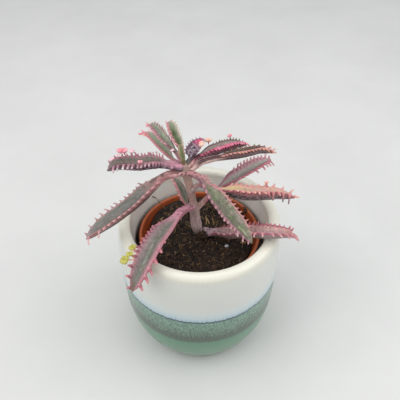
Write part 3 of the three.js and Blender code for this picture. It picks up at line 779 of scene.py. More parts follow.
def make_crumbs(top):
    rng = np.random.default_rng(31)
    iv, itri = ico(1)
    vs, fs, rnd, base = [], [], [], 0
    n = 1500
    for i in range(n):
        r = 45.0 * math.sqrt(rng.uniform(0, 1))
        a = rng.uniform(0, 6.2832)
        x, y = r * math.cos(a), r * math.sin(a)
        size = rng.choice([0.35, 0.55, 0.8, 1.2, 1.8], p=[0.34, 0.32, 0.2, 0.11, 0.03]) * rng.uniform(0.8, 1.25)
        if r + size > 45.6 or math.hypot(x + 1.9, y - 4) < 3.4 + size:
            continue
        near = np.argmin((top[:, 0] - x) ** 2 + (top[:, 1] - y) ** 2)
        z = top[near, 2] + size * rng.uniform(-0.25, 0.3)
        shape = iv * (1 + 0.28 * rng.uniform(-1, 1, (len(iv), 1))) * rng.uniform(0.6, 1.3, 3)
        vs.append(shape @ spin(rng).T * size + (x, y, z))
        fs.append(itri + base)
        base += len(iv)
        rnd.append(np.full(len(iv), rng.uniform()))
    # a heap against the foot of the stem, and a little peat spilled over the rim
    for i in range(136):
        w = rng.normal(0, 1, 3) * (1.7, 1.4, 2.2)
        size = rng.uniform(0.5, 1.25)
        at = np.array([3.2, -2.4, 119.2]) + w
        if i >= 110:
            w *= (0.75, 0.9, 0.0)
            size *= 0.75
            at = np.array([42.1, 27.3, 0.0]) + w
            reach = math.hypot(at[0], at[1])
            at[2] = float(np.interp(reach, [47.0, 48.8, 50.3, 52.2], [113.0, 116.4, 120.4, 120.9])) + 0.3 * size
            if reach > 52.2:
                continue
        if at[2] - size < 111.5 or np.linalg.norm(w) > 4.6:
            continue
        shape = iv * (1 + 0.3 * rng.uniform(-1, 1, (len(iv), 1))) * rng.uniform(0.6, 1.5, 3)
        vs.append(shape @ spin(rng).T * size + at)
        fs.append(itri + base)
        base += len(iv)
        rnd.append(np.full(len(iv), rng.uniform(0.62, 1)))
    v = np.vstack(vs)
    return piece("peat_crumbs", v, [np.vstack(fs)], soil_material("peat_crumbs", True), ["peat_crumb"], {"rnd": np.concatenate(rnd)})


def fibre_material():
    t = Tree("peat_fibres")
    rnd = t.attr("rnd")
    col = t.ramp(rnd, [(0.0, (44, 29, 19)), (0.3, (76, 53, 34)), (0.55, (122, 90, 58)), (0.8, (168, 132, 90)), (1.0, (208, 178, 134))])
    n = t.noise(1500.0, 3.0, 0.7)
    col = t.mix(t.math("MULTIPLY", n, 0.4), col, lin((48, 34, 24)))
    return t.finish(col, 0.8, t.bump(n, 0.6, 0.0002))


def make_fibres(top):
    rng = np.random.default_rng(47)
    parts, rnd = [], []
    # a few long straws behind the stem
    for (x, y), d, length, rad, tone in (((6.0, 12.5), 1.35, 8.5, 0.62, 0.80), ((9.0, 13.5), 1.75, 7.0, 0.5, 0.92), ((13.0, 12.0), 1.5, 7.5, 0.5, 0.75),
                                         ((16.5, 17.0), 2.3, 5.5, 0.4, 0.7), ((3.5, 20.0), 0.7, 6.0, 0.45, 0.72), ((-27.0, 9.0), 2.2, 6.5, 0.5, 0.7),
                                         ((-22.5, 2.0), 1.1, 5.5, 0.4, 0.62)):
        u = np.linspace(0, 1, 9)
        px, py = x + np.cos(d + 0.3 * u) * u * length, y + np.sin(d + 0.3 * u) * u * length
        pz = top[np.argmin((top[:, 0] - x) ** 2 + (top[:, 1] - y) ** 2), 2] - 0.4 + u * length * 0.34
        tv = tube(np.stack([px, py, pz], 1), rad * np.array([0.7, 1, 1, 0.95, 1, 0.9, 0.85, 0.7, 0.4]), 7, 0.6)
        parts.append(tv)
        rnd.append(np.full(len(tv[0]), tone))
    for i in range(1250):
        upright = i % 7 == 0
        r = 44.0 * math.sqrt(rng.uniform(0, 1))
        a = rng.uniform(0, 6.2832)
        x, y = r * math.cos(a), r * math.sin(a)
        if math.hypot(x + 1.9, y - 4) < 6.5:
            continue
        length = rng.uniform(1.2, 5.6) * (0.8 if upright else 1.0)
        d = rng.uniform(0, 6.2832)
        tone = rng.uniform() ** (1.0 if math.hypot(x - 8, y - 18) < 14 else 1.6)
        rad = rng.choice([0.14, 0.22, 0.34, 0.5], p=[0.44, 0.36, 0.16, 0.04]) * rng.uniform(0.8, 1.2)
        n = 7
        u = np.linspace(0, 1, n)
        curl = rng.uniform(-2.6, 2.6)
        th = d + curl * u
        step = length / (n - 1)
        px = x + np.r_[0, np.cumsum(np.cos(th[:-1]) * step)]
        py = y + np.r_[0, np.cumsum(np.sin(th[:-1]) * step)]
        rr = np.hypot(px, py)
        if rr.max() > 45.3 or np.hypot(px + 1.9, py - 4).min() < 5.2:
            continue
        pz = np.array([top[np.argmin((top[:, 0] - q) ** 2 + (top[:, 1] - w) ** 2), 2] for q, w in zip(px, py)])
        if upright:
            pz = pz[0] + u * length * rng.uniform(0.25, 0.6) - 0.3
        else:
            pz = np.convolve(np.r_[pz[0], pz, pz[-1]], [0.3, 0.4, 0.3], "valid") + rng.uniform(0.05, 0.5)
            pz[0] -= 0.3
        tv = tube(np.stack([px, py, pz], 1), rad * np.linspace(1.0, 0.55, n), 5, rng.uniform(0.5, 1.0))
        parts.append(tv)
        rnd.append(np.full(len(tv[0]), tone))
    v, faces = stack(parts)
    return piece("peat_fibres", v, faces, fibre_material(), (), {"rnd": np.concatenate(rnd)})


def perlite_material():
    t = Tree("perlite")
    n = t.noise(900.0, 4.0, 0.7)
    c = t.cells(1400.0)
    col = t.ramp(n, [(0.3, (176, 184, 196)), (0.6, (214, 219, 226)), (0.8, (232, 234, 236))])
    col = t.mix(t.math("MULTIPLY", t.span(c, 0.25, 0.08), 0.4), col, lin((120, 122, 128)))
    return t.finish(col, 0.85, t.bump(t.math("ADD", n, c), 0.8, 0.0003), Subsurface_Weight=0.1, Subsurface_Scale=0.001)


def make_perlite():
    rng = np.random.default_rng(5)
    iv, itri = ico(3)
    mat = perlite_material()
    for name, x, y, z, r in (("perlite_grain_front", 23.5, -13.1, 116.2, 1.4), ("perlite_grain_left", -21.3, 13.4, 117.0, 0.9),
                             ("perlite_grain_right", 30.2, 13.0, 116.8, 0.8)):
        v = iv * (1 + 0.20 * wave_noise(iv * 2.0, rng.integers(1000), 1.6, 3)[:, None]) * np.array([1.15, 0.9, 0.78]) * r
        piece(name + "_bead", v + (x, y, z), [itri], mat, [name])


def make_rootlet():
    pts = [(-44.6, 37.3, 128.4), (-42.9, 37.5, 127.2), (-39.6, 37.0, 125.0), (-36.6, 34.6, 122.6), (-33.5, 31.0, 120.6), (-31.6, 28.6, 119.0)]
    c = dense(pts, 0.6)
    u = np.linspace(0, 1, len(c))
    c[:, 0] += 0.5 * np.sin(u * 9)
    c[:, 2] += 0.35 * np.sin(u * 13 + 1)
    parts = [tube(c, 0.34 + 0.12 * np.sin(u * 17) - 0.12 * u, 8)]
    for s, d in ((0.25, (-1.6, 1.8, 1.0)), (0.45, (2.0, 1.2, 0.4)), (0.62, (-1.5, -1.4, 0.8)), (0.8, (1.0, -2.0, 0.2))):
        p = c[int(s * (len(c) - 1))]
        q = np.array(d)
        parts.append(tube([p, p + 0.5 * q + (0, 0, 0.3), p + q], [0.22, 0.18, 0.1], 6))
    v, faces = stack(parts)
    t = Tree("dry_rootlet")
    n = t.noise(800.0, 3.0, 0.7)
    col = t.ramp(n, [(0.3, (72, 54, 34)), (0.6, (128, 104, 66)), (0.8, (160, 138, 92))])
    t.finish(col, 0.85, t.bump(n, 0.6, 0.0002))
    piece("dry_rootlet_twig", v, faces, t.mat, ["dry_rootlet"], {})


# ---------------------------------------------------------------- leaves

LEAVES = {
    "leaf_far_left": dict(pts=[[-15.2, 3.7, 190.8], [-23.4, 3.6, 191.3], [-31.4, 2.4, 191.8], [-39.4, 0.9, 191.8], [-47.5, 0.0, 191.4], [-55.7, 0.2, 191.7], [-63.8, 0.0, 192.0], [-71.7, -1.9, 191.2]], half=9.9, fold=54, roll=[14, -3], blunt=3.8, petiole=0.14),
    "leaf_upper_left_a": dict(pts=[[-13.0, 7.2, 185.0], [-19.1, 18.6, 182.9], [-25.1, 30.3, 179.3], [-31.0, 42.1, 176.3], [-36.6, 54.1, 173.5], [-42.0, 66.2, 170.6], [-47.4, 78.2, 167.3], [-52.9, 90.0, 163.5]], half=6.5, fold=42, roll=[7, 8], petiole=0.20),
    "leaf_upper_left_b": dict(pts=[[-13.4, 7.0, 189.4], [-17.3, 15.8, 192.4], [-22.4, 24.1, 192.9], [-28.2, 31.9, 192.9], [-32.8, 40.5, 192.6], [-36.5, 49.4, 191.7], [-40.3, 58.2, 189.9], [-44.0, 66.9, 187.5]], half=6.6, fold=54, roll=[-3, -6], petiole=0.20),
    "leaf_top": dict(pts=[[-12.8, 6.9, 193.4], [-13.7, 13.6, 196.1], [-15.6, 20.0, 197.3], [-18.4, 26.1, 198.8], [-20.8, 32.3, 200.0], [-22.6, 38.8, 200.6], [-24.2, 45.5, 200.7], [-25.7, 52.1, 200.6]], half=5.9, fold=49, roll=[0, -1], petiole=0.16),
    "leaf_young": dict(pts=[[-12.6, 3.6, 195.2], [-13.4, 4.6, 198.5], [-14.1, 5.9, 202.0], [-14.6, 8.0, 204.6], [-14.8, 11.5, 206.4]], half=2.9, fold=41, roll=[0, 0], petiole=0.15),
    "leaf_back_right": dict(pts=[[-9.3, 6.2, 193.0], [-6.8, 8.9, 194.6], [-4.0, 14.7, 196.3], [-0.3, 18.8, 199.9], [3.1, 23.5, 203.3]], half=7.3, fold=35, roll=[-12, -13], petiole=0.14),
    "leaf_right_magenta": dict(pts=[[-9.2, 6.0, 189.6], [-2.6, 11.7, 192.4], [5.0, 16.2, 191.5], [12.3, 20.9, 189.9], [19.2, 26.2, 188.6], [26.3, 31.5, 187.5], [33.2, 36.7, 185.8], [40.0, 41.9, 183.5]], half=8.2, fold=62, roll=[-6, -8], petiole=0.16),
    "leaf_right_orange": dict(pts=[[-7.9, 5.4, 185.4], [1.8, 9.9, 189.8], [11.7, 15.2, 189.2], [21.7, 19.6, 186.7], [32.0, 23.7, 184.6], [42.1, 28.6, 183.4], [51.9, 33.9, 182.2], [62.1, 37.2, 178.9]], half=6.8, fold=64, roll=[-10, -8], petiole=0.34),
    "leaf_back_grey": dict(pts=[[-1.2, 6.2, 143.5], [7.0, 11.6, 149.7], [15.8, 17.8, 154.0], [25.6, 23.7, 156.5], [35.5, 29.5, 158.3], [45.1, 35.8, 160.2], [54.6, 42.4, 161.5], [64.2, 48.9, 161.5]], half=8.5, fold=38, roll=[-3, 0], blunt=3.2, petiole=0.30),
    "leaf_front_right": dict(pts=[[-8.3, 1.7, 186.0], [0.1, -5.1, 186.3], [6.4, -10.3, 178.9], [13.2, -15.8, 171.9], [19.9, -21.1, 164.9], [27.2, -27.1, 159.0], [34.8, -32.6, 152.9], [41.8, -36.3, 145.1]], half=9.3, fold=28, roll=[-4, 0], petiole=0.19),
    "leaf_low_right": dict(pts=[[3.7, 3.2, 116.9], [16.1, -2.0, 118.6], [26.6, -11.0, 125.0], [35.7, -17.1, 132.6], [44.7, -23.8, 139.8], [55.5, -29.3, 145.2], [68.4, -28.2, 144.8], [76.3, -19.6, 138.7]], half=10.4, fold=52, roll=[-6, -11], blunt=3.6, petiole=0.02),
    "leaf_salmon": dict(pts=[[-6.2, 0.8, 167.5], [-0.7, 0.3, 174.2], [9.0, 0.3, 171.8], [22.4, 1.3, 164.1], [35.9, -1.0, 161.1], [49.9, -1.5, 161.3], [63.7, -2.3, 163.3], [77.7, -3.2, 164.1]], half=10.8, fold=55, roll=[-12, -20], petiole=0.27),
    "leaf_big_left": dict(pts=[[-14.4, 2.3, 185.6], [-26.6, -2.3, 184.0], [-36.1, -7.8, 176.3], [-45.4, -13.1, 168.4], [-55.7, -18.1, 161.6], [-66.6, -23.5, 156.0], [-77.9, -28.7, 151.1], [-89.7, -32.5, 146.2]], half=10.6, fold=49, roll=[8, 2], blunt=4.2, petiole=0.12),
    "leaf_front_left": dict(pts=[[-7.2, 2.2, 148.0], [-14.0, -8.0, 152.4], [-21.0, -19.8, 152.9], [-28.0, -31.6, 153.0], [-34.2, -43.7, 152.2], [-39.6, -55.9, 149.0], [-45.4, -64.7, 140.6], [-50.9, -71.8, 130.3]], half=9.7, fold=22, roll=[15, 5], blunt=3.0, petiole=0.20),
    "leaf_rising_left": dict(pts=[[-6.8, 7.2, 139.5], [-12.1, 12.2, 143.8], [-15.3, 17.0, 149.8], [-18.7, 21.7, 156.0], [-23.6, 27.6, 159.4]], half=5.4, fold=36, roll=[-3, -2], petiole=0.20),
}

# Margin teeth: A is the margin on the left of base to tip, B the one on the right.
# Each tooth is (place along the leaf, length, droop, lean towards the tip).
TEETH = {
    "leaf_far_left": dict(
        A=[(0.105, 4.0, 2.2, 0.5), (0.14, 4.2, 2.3, 0.5), (0.175, 4.4, 2.3, 0.5), (0.21, 4.4, 2.4, 0.5), (0.247, 4.4, 2.4, 0.45), (0.285, 4.4, 2.4, 0.4), (0.325, 4.2, 2.3, 0.4), (0.365, 4.0, 2.2, 0.4),
           (0.41, 3.8, 2.0, 0.35), (0.455, 3.6, 1.9, 0.35), (0.50, 3.4, 1.8, 0.35), (0.55, 3.2, 1.7, 0.3), (0.618, 3.6, 1.6, 0.35), (0.677, 3.8, 1.6, 0.35), (0.75, 4.0, 1.6, 0.35), (0.833, 4.6, 1.5, 0.15), (0.895, 5.2, 1.6, 0.15)],
        B=[(0.235, 3.6, -0.1, -0.2), (0.265, 3.6, -0.1, 0.0), (0.30, 3.2, 0.0, 0.1), (0.335, 3.0, -0.1, 0.2), (0.37, 2.6, 0.1, 0.4), (0.405, 2.6, -0.1, 0.2),
           (0.45, 2.4, 0.1, 0.4), (0.49, 2.8, 0.1, 0.4), (0.552, 2.4, -0.1, 0.4), (0.603, 3.2, -0.1, 0.4), (0.66, 2.2, 0.0, 0.4), (0.72, 2.4, 0.0, 0.4), (0.79, 2.2, 0.0, 0.4),
           (0.86, 2.6, 0.0, 0.5), (0.93, 2.4, 0.0, 0.5)]),
    "leaf_upper_left_a": dict(
        A=[(0.67, 3.2, 0.5, 0.4), (0.74, 4.0, 0.7, 0.2), (0.81, 4.6, 0.9, 0.2), (0.885, 4.6, 0.9, 0.2), (0.94, 3.2, 0.2, 0.4)],
        B=[]),
    "leaf_upper_left_b": dict(
        A=[(0.65, 3.0, 0.7, 0.4), (0.745, 3.4, 0.7, 0.4), (0.84, 3.2, 0.2, 0.4), (0.92, 3.2, 0.1, 0.6)],
        B=[(0.487, 1.6, 0.4, 0.6), (0.53, 2.0, 0.1, 0.6), (0.575, 2.0, 0.1, 0.6), (0.62, 2.2, 0.1, 0.6), (0.67, 2.0, 0.1, 0.4), (0.723, 2.0, 0.3, 0.6), (0.79, 2.4, 0.6, 0.4), (0.863, 2.2, 0.3, 0.6), (0.95, 2.6, 0.5, 0.4)]),
    "leaf_top": dict(
        A=[(0.318, 2.6, 0.3, 0.4), (0.403, 2.6, 0.1, 0.6), (0.508, 2.4, -0.1, 0.6), (0.60, 2.2, -0.2, 0.6), (0.69, 2.0, -0.2, 0.6), (0.78, 2.0, -0.1, 0.6), (0.87, 2.4, -0.1, 0.6)],
        B=[(0.258, 1.6, -0.1, 0.6), (0.31, 1.7, -0.1, 0.9), (0.367, 1.7, -0.1, 0.9), (0.448, 1.9, -0.1, 0.8), (0.512, 2.2, 0.1, 0.4), (0.573, 2.2, 0.1, 0.6), (0.642, 2.4, 0.1, 0.6), (0.72, 2.4, 0.3, 0.6),
           (0.80, 2.6, 0.3, 0.6), (0.88, 2.6, 0.2, 0.5), (0.95, 2.8, 0.3, 0.4)]),
    "leaf_young": dict(A=[(0.55, 1.0, 0.0, 0.6), (0.74, 1.3, -0.1, 0.6), (0.9, 1.5, 0.2, 0.4)], B=[(0.5, 1.0, 0, 0.6), (0.68, 1.2, 0.0, 0.5), (0.85, 1.5, 0.2, 0.6), (0.96, 1.2, 0.0, 0.6)]),
    "leaf_back_right": dict(
        A=[(0.28, 1.4, 0.6, 0.3), (0.38, 1.6, 0.6, 0.3), (0.48, 1.7, 0.6, 0.3), (0.58, 1.9, 0.4, 0.3), (0.68, 2.0, 0.2, 0.4), (0.78, 2.0, 0.1, 0.4), (0.88, 1.9, 0.0, 0.5)],
        B=[(0.30, 1.4, 0.8, 0.3), (0.41, 1.6, 0.8, 0.3), (0.52, 1.9, 0.8, 0.3), (0.63, 2.0, 0.6, 0.3), (0.74, 2.0, 0.4, 0.4), (0.85, 1.9, 0.2, 0.5), (0.94, 1.5, 0.1, 0.5)]),
    "leaf_right_magenta": dict(
        A=[(0.448, 1.6, 0.0, 0.6), (0.503, 2.0, 0.3, 0.6), (0.557, 2.2, 0.2, 0.6), (0.603, 1.8, 0.4, 0.6), (0.645, 1.8, 0.2, 0.6), (0.688, 1.8, 0.0, 0.6), (0.735, 1.8, 0.2, 0.6), (0.782, 2.2, 0.2, 0.6), (0.833, 2.0, 0.0, 0.4), (0.883, 2.0, 0.2, 0.6), (0.94, 2.0, 0.2, 0.6)],
        B=[(0.200, 4.6, 2.30, 1.00), (0.241, 4.6, 2.29, 0.99), (0.282, 4.5, 2.27, 0.99), (0.324, 4.5, 2.26, 0.98), (0.365, 4.5, 2.25, 0.97), (0.406, 4.5, 2.24, 0.97), (0.448, 4.5, 2.23, 0.96), (0.489, 4.4, 2.21, 0.96), (0.530, 4.4, 2.20, 0.95), (0.571, 4.4, 2.19, 0.94), (0.613, 4.3, 2.17, 0.94), (0.654, 4.3, 2.16, 0.93), (0.695, 4.3, 2.15, 0.93), (0.736, 4.3, 2.14, 0.92), (0.777, 4.2, 2.12, 0.91), (0.819, 4.2, 2.11, 0.91), (0.860, 4.2, 2.10, 0.90),
           (0.905, 4.2, 1.5, 0.6), (0.955, 4.4, 1.3, 0.5)]),
    "leaf_right_orange": dict(
        A=[(0.42, 2.0, 0.6, 0.6), (0.49, 2.2, 0.8, 0.6), (0.562, 2.4, 0.9, 0.7), (0.623, 2.2, 0.9, 0.7), (0.677, 2.0, 0.8, 0.7), (0.73, 2.0, 0.8, 0.7), (0.785, 2.0, 0.6, 0.7), (0.84, 2.2, 0.9, 0.5), (0.89, 2.0, 0.6, 0.7), (0.94, 2.0, 0.6, 0.7)],
        B=[(0.360, 4.4, 2.10, 1.10), (0.402, 4.4, 2.08, 1.09), (0.443, 4.4, 2.05, 1.08), (0.485, 4.4, 2.02, 1.08), (0.527, 4.4, 2.00, 1.07), (0.568, 4.4, 1.98, 1.06), (0.610, 4.4, 1.95, 1.05), (0.652, 4.4, 1.93, 1.04), (0.693, 4.4, 1.90, 1.03), (0.735, 4.4, 1.88, 1.02), (0.777, 4.4, 1.85, 1.02), (0.818, 4.4, 1.83, 1.01), (0.860, 4.4, 1.80, 1.00),
           (0.885, 4.8, 1.7, 0.5), (0.915, 4.6, 0.1, 0.6), (0.945, 5.2, 1.4, 0.5), (0.975, 4.8, -0.1, 0.9), (0.99, 4.6, 1.0, 1.2)]),
    "leaf_back_grey": dict(
        A=[(0.547, 2.4, 0.40, 0.90), (0.603, 3.2, 0.00, 0.90), (0.650, 3.2, 0.20, 0.70), (0.690, 3.5, 0.00, 0.90), (0.730, 3.2, 0.00, 0.90), (0.775, 3.2, 0.20, 0.90), (0.820, 3.0, 0.20, 0.90), (0.862, 2.7, 0.30, 0.90), (0.900, 2.7, 0.40, 0.90), (0.940, 3.0, 0.00, 0.90), (0.980, 3.5, 0.60, 0.70)],
        B=[(0.52, 1.2, 0.8, 1.2), (0.57, 1.3, 0.8, 1.2), (0.62, 1.4, 0.8, 1.2), (0.67, 1.6, 1.0, 1.0), (0.72, 3.8, 1.4, 0.5), (0.765, 1.6, 1.0, 0.9), (0.81, 4.6, 1.3, 0.4), (0.86, 3.8, 1.2, 0.4), (0.90, 4.4, 1.2, 0.4), (0.95, 5.4, 1.2, 0.3)]),
    "leaf_front_right": dict(
        A=[(0.150, 3.4, 0.30, 0.60), (0.185, 3.8, 0.20, 0.50), (0.222, 4.0, 0.20, 0.40), (0.262, 3.8, 0.20, 0.50), (0.305, 3.4, 0.40, 0.60), (0.355, 2.8, 0.40, 0.60), (0.410, 1.4, 0.40, 0.60), (0.453, 1.7, 0.40, 0.40), (0.505, 1.9, 0.40, 0.40), (0.565, 1.9, 0.20, 0.40), (0.618, 2.0, 0.40, 0.40), (0.667, 2.0, 0.40, 0.40), (0.720, 1.7, 0.40, 0.60), (0.777, 2.8, 0.00, 0.40), (0.840, 1.9, 0.30, 0.50), (0.910, 1.7, 0.40, 0.50)],
        B=[(0.220, 1.1, 0.50, 1.00), (0.280, 1.1, 0.50, 1.00), (0.340, 1.1, 0.50, 1.00), (0.400, 1.1, 0.50, 1.00), (0.460, 1.1, 0.50, 1.00), (0.520, 1.1, 0.50, 1.00), (0.570, 1.1, 0.50, 0.90), (0.618, 2.1, 0.50, 0.50), (0.665, 1.1, 0.50, 0.90), (0.710, 2.5, 0.50, 0.50), (0.755, 1.2, 0.50, 0.90), (0.800, 2.8, 0.60, 0.30), (0.865, 3.4, 0.80, 0.10), (0.938, 2.1, 0.60, 0.30)]),
    "leaf_low_right": dict(
        A=[(0.20, 1.2, 0.2, 0.8), (0.27, 1.3, 0.2, 0.8), (0.34, 1.3, 0.2, 0.8), (0.41, 1.4, 0.2, 0.8), (0.48, 1.6, 0.0, 0.7), (0.53, 1.8, 0.0, 0.6), (0.575, 2.0, -0.1, 0.5), (0.615, 2.0, -0.1, 0.5), (0.655, 2.0, 0.0, 0.4), (0.695, 2.0, 0.0, 0.4), (0.735, 2.0, 0.0, 0.4), (0.775, 1.9, 0.0, 0.4), (0.815, 1.9, 0.2, 0.5), (0.855, 1.9, 0.3, 0.5), (0.895, 2.2, 0.0, 0.5), (0.94, 3.0, 0.4, 0.6)],
        B=[(0.240, 1.2, 0.60, 0.90), (0.320, 1.3, 0.60, 0.90), (0.400, 1.4, 0.60, 0.90), (0.480, 1.8, 0.80, 0.70), (0.550, 2.4, 1.00, 0.50), (0.605, 2.8, 1.20, 0.50), (0.655, 3.6, 1.30, 0.50), (0.700, 3.2, 1.30, 0.50), (0.745, 3.4, 1.00, 0.50), (0.790, 3.4, 1.00, 0.30), (0.835, 4.2, 1.40, 0.30),
           (0.875, 5.6, 1.30, 0.40), (0.915, 6.1, 1.20, 0.50), (0.950, 5.9, 1.10, 0.60), (0.985, 5.1, 0.80, 0.70)]),
    "leaf_salmon": dict(
        A=[(0.395, 2.4, -0.1, 0.4), (0.435, 2.6, -0.1, 0.5), (0.48, 2.6, 0.0, 0.5), (0.54, 2.4, 0.2, 0.6), (0.605, 2.2, 0.3, 0.7), (0.675, 2.2, 0.4, 0.7), (0.74, 2.4, 0.2, 0.7), (0.81, 3.2, 0.0, 0.8), (0.885, 3.6, 0.0, 0.9), (0.955, 3.6, 0.0, 0.9)],
        B=[(0.380, 2.3, 0.90, 0.90), (0.440, 2.4, 0.90, 0.90), (0.500, 2.5, 0.90, 0.80), (0.560, 2.6, 0.90, 0.80), (0.620, 2.8, 0.90, 0.60), (0.675, 3.2, 0.90, 0.20), (0.720, 2.9, 1.00, 0.50), (0.765, 4.4, 1.40, 0.40), (0.812, 7.2, 1.50, 0.20), (0.850, 3.5, 1.20, 0.40), (0.893, 7.2, 1.50, 0.00), (0.950, 7.6, 1.50, 0.00), (0.985, 4.0, 0.90, 0.60)]),
    "leaf_big_left": dict(
        A=[(0.20, 1.2, 0.6, 1.2), (0.255, 1.3, 0.6, 1.2), (0.31, 1.3, 0.6, 1.2), (0.365, 1.3, 0.6, 1.2), (0.42, 1.3, 0.6, 1.2), (0.475, 1.3, 0.6, 1.2), (0.53, 1.4, 0.6, 1.2), (0.585, 1.4, 0.6, 1.2), (0.64, 1.4, 0.6, 1.2), (0.695, 1.6, 0.7, 1.0), (0.75, 1.8, 0.8, 0.8), (0.80, 2.2, 0.9, 0.5), (0.85, 5.2, 1.2, 0.0), (0.965, 6.6, 0.9, -0.25)],
        B=[(0.22, 1.2, 0.1, 0.8), (0.275, 1.4, 0.1, 0.7), (0.325, 2.9, 0.0, 0.4), (0.365, 1.8, 0.1, 0.6), (0.405, 1.9, 0.2, 0.6), (0.465, 2.2, 0.0, 0.6), (0.51, 2.4, 0.0, 0.6), (0.562, 2.2, 0.2, 0.4), (0.608, 2.9, 0.2, 0.4), (0.66, 3.0, 0.0, 0.4), (0.705, 3.0, -0.1, 0.6), (0.772, 2.9, -0.1, 0.4), (0.835, 3.0, -0.1, 0.4), (0.915, 3.2, 0.1, 0.6), (0.975, 2.6, -0.1, 0.8)]),
    "leaf_front_left": dict(
        A=[(0.545, 1.0, 0.4, 0.8), (0.63, 2.5, 0.6, 0.6), (0.705, 4.1, 0.6, 0.4), (0.768, 4.4, 0.6, 0.15), (0.83, 5.1, 0.6, 0.1), (0.905, 5.1, 0.6, 0.2)],
        B=[(0.36, 0.8, 0.4, 0.6), (0.422, 1.5, 0.6, 0.35), (0.455, 0.9, 0.5, 0.4), (0.492, 1.7, 0.6, 0.35), (0.528, 1.0, 0.5, 0.4), (0.562, 2.0, 0.5, 0.35), (0.60, 1.5, 0.4, 0.3), (0.642, 2.6, 0.3, 0.15), (0.682, 2.5, 0.3, 0.3), (0.728, 2.6, 0.5, 0.35), (0.812, 3.6, 0.3, 0.15), (0.895, 3.4, 0.1, 0.3), (0.975, 3.6, 0.3, 0.4)]),
    "leaf_rising_left": dict(
        A=[(0.35, 1.0, 0.1, 0.8), (0.5, 1.1, 0.1, 0.8), (0.65, 1.4, 0.2, 0.7), (0.795, 2.8, 0.3, 0.4), (0.92, 1.8, 0.2, 0.6)],
        B=[(0.4, 1.0, 0.1, 0.8), (0.55, 1.2, 0.1, 0.8), (0.7, 1.4, 0.1, 0.7), (0.84, 1.6, 0.1, 0.6), (0.94, 1.4, 0.1, 0.6)]),
}


STALK = {   # half width and thickness of the leaf stalk
    "leaf_far_left": (4.6, 6.0),
    "leaf_front_left": (4.6, 5.4),
    "leaf_low_right": (4.6, 6.0),
    "leaf_big_left": (4.6, 4.6),
    "leaf_front_right": (3.2, 4.4),
    "leaf_back_grey": (2.8, 3.2),
    "leaf_right_orange": (3.2, 4.8),
    "leaf_right_magenta": (2.8, 3.8),
    "leaf_salmon": (2.6, 3.6),
    "leaf_rising_left": (2.2, 2.8),
}


class Blade:
    """The spine of one leaf with its frame, width and fold at every station."""

    def __init__(self, name, n=401):
        spec = LEAVES[name]
        pts = np.array(spec["pts"], float)
        c = catmull(pts, 40)
        first = c[0] - (c[1] - c[0]) / np.linalg.norm(c[1] - c[0]) * 2.2
        d = np.r_[0, np.cumsum(np.linalg.norm(np.diff(c, axis=0), axis=1))]
        self.length = d[-1]
        self.s = np.linspace(0, 1, n)
        self.q = np.stack([np.interp(self.s * self.length, d, c[:, k]) for k in range(3)], 1)
        t = np.gradient(self.q, axis=0)
        t /= np.linalg.norm(t, axis=1)[:, None]
        self.root = first
        az = math.atan2(pts[-1, 1] - pts[0, 1], pts[-1, 0] - pts[0, 0])
        side0 = np.array([-math.sin(az), math.cos(az), 0.0])
        side = side0 - (t @ side0)[:, None] * t
        side /= np.linalg.norm(side, axis=1)[:, None]
        up = np.cross(t, side)
        r = np.radians(spec["roll"][0] + (spec["roll"][1] - spec["roll"][0]) * self.s)[:, None]
        self.t = t
        self.lat = np.cos(r) * side + np.sin(r) * up
        self.nor = -np.sin(r) * side + np.cos(r) * up
        u = np.clip((self.s - spec["petiole"]) / (1 - spec["petiole"]), 0, 1)
        k = np.clip(u / 0.3, 0, 1)
        rise = k * k * (3 - 2 * k)
        fall = np.where(u > 0.45, np.maximum(0, 1 - np.maximum(0, (u - 0.45) / 0.55) ** spec.get("blunt", 2.4)) ** 0.8, 1.0)
        stalk, self.stalk_thick = STALK.get(name, (min(2.2, spec["half"] * 0.6), 2.6))
        self.w = np.maximum((stalk + (spec["half"] - stalk) * rise) * fall, 0.5)
        self.fold = np.radians(spec["fold"]) * np.clip(self.s / 0.15, 0.3, 1)
        self.n = n

    def at(self, arr, s):
        x = np.clip(np.asarray(s, float), 0, 1) * (self.n - 1)
        i = np.minimum(np.floor(x).astype(int), self.n - 2)
        f = (x - i)[..., None] if arr.ndim > 1 else x - i
        return arr[i] * (1 - f) + arr[i + 1] * f


